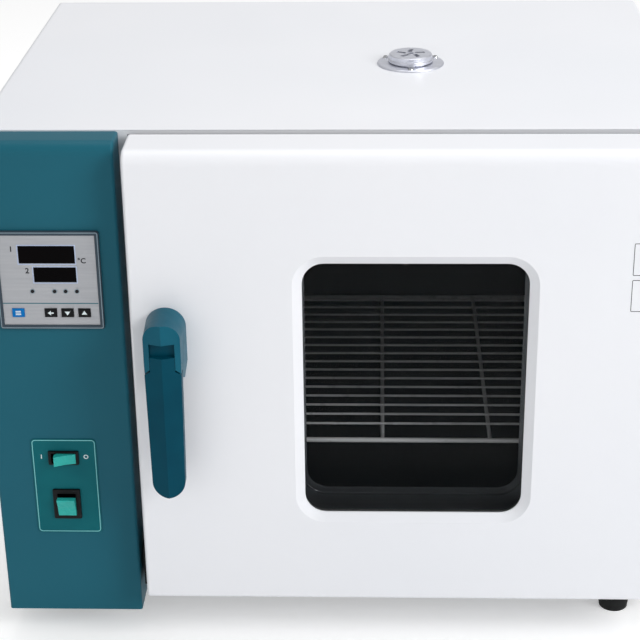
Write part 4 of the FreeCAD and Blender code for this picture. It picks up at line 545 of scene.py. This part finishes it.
def make_floor():
    """A pale floor that goes white in the picture and keeps the shadow."""
    mesh = bpy.data.meshes.new("floor")
    corners = [(x * FLOOR_REACH, y * FLOOR_REACH, 0) for x, y in ((-1, -1), (1, -1), (1, 1), (-1, 1))]
    mesh.from_pydata(corners, [], [(0, 1, 2, 3)])
    floor = bpy.data.objects.new("floor", mesh)
    scene.collection.objects.link(floor)
    material = bpy.data.materials.new("floor")
    material.use_nodes = True
    tree = material.node_tree
    shader = tree.nodes["Principled BSDF"]
    shader.inputs["Base Color"].default_value = FLOOR_TONE
    shader.inputs["Roughness"].default_value = 0.9
    shader.inputs["Specular IOR Level"].default_value = 0.0
    surface = white_when_seen(tree, shader.outputs["BSDF"], FLOOR_GLOW)
    tree.links.new(surface, tree.nodes["Material Output"].inputs["Surface"])
    mesh.materials.append(material)


def make_world():
    """A white world, dimmer in the light that it gives."""
    world = bpy.data.worlds.new("studio")
    scene.world = world
    world.use_nodes = True
    tree = world.node_tree
    background = tree.nodes["Background"]
    background.inputs["Color"].default_value = (1.0, 1.0, 1.0, 1.0)
    rays = tree.nodes.new("ShaderNodeLightPath")
    strength = tree.nodes.new("ShaderNodeMapRange")
    strength.inputs["To Min"].default_value = WORLD_LIT
    strength.inputs["To Max"].default_value = WORLD_SEEN
    tree.links.new(rays.outputs["Is Camera Ray"], strength.inputs["Value"])
    tree.links.new(strength.outputs["Result"], background.inputs["Strength"])


def soft_lamp(name, place, aim, size, power):
    """A round lamp that looks at a point; the size is in metres and the power in watts."""
    data = bpy.data.lights.new(name, "AREA")
    data.shape = "DISK"
    data.size = size
    data.energy = power
    lamp = bpy.data.objects.new(name, data)
    scene.collection.objects.link(lamp)
    lamp.location = place
    lamp.rotation_mode = "QUATERNION"
    lamp.rotation_quaternion = (Vector(aim) - Vector(place)).to_track_quat("-Z", "Y")


def make_camera():
    """The photograph's own view: place, direction, roll and lens from its straight edges."""
    level = Vector((math.cos(CAMERA_YAW), -math.sin(CAMERA_YAW), 0))
    ahead = Vector((math.sin(CAMERA_YAW), math.cos(CAMERA_YAW), 0))
    forward = ahead * math.cos(CAMERA_PITCH) - Vector((0, 0, math.sin(CAMERA_PITCH)))
    upright = level.cross(forward)
    right = level * math.cos(CAMERA_ROLL) + upright * math.sin(CAMERA_ROLL)
    up = upright * math.cos(CAMERA_ROLL) - level * math.sin(CAMERA_ROLL)
    data = bpy.data.cameras.new("camera")
    data.lens = CAMERA_LENS
    data.sensor_width = 36.0
    data.clip_start = 0.05
    data.clip_end = 100.0
    camera = bpy.data.objects.new("camera", data)
    scene.collection.objects.link(camera)
    turn = Matrix((right, up, -forward)).transposed().to_4x4()
    camera.matrix_world = Matrix.Translation(CAMERA_PLACE) @ turn
    scene.camera = camera


make_floor()
make_world()
TARGET = (0.0, 0.0, 0.25)
soft_lamp("key", (2.3, -1.7, 1.9), TARGET, 1.5, 58.0)
soft_lamp("fill", (-1.6, -2.8, 1.2), TARGET, 2.2, 8.0)
soft_lamp("top", (0.3, 0.5, 2.8), TARGET, 2.4, 26.0)
make_camera()
scene.view_settings.view_transform = "Standard"
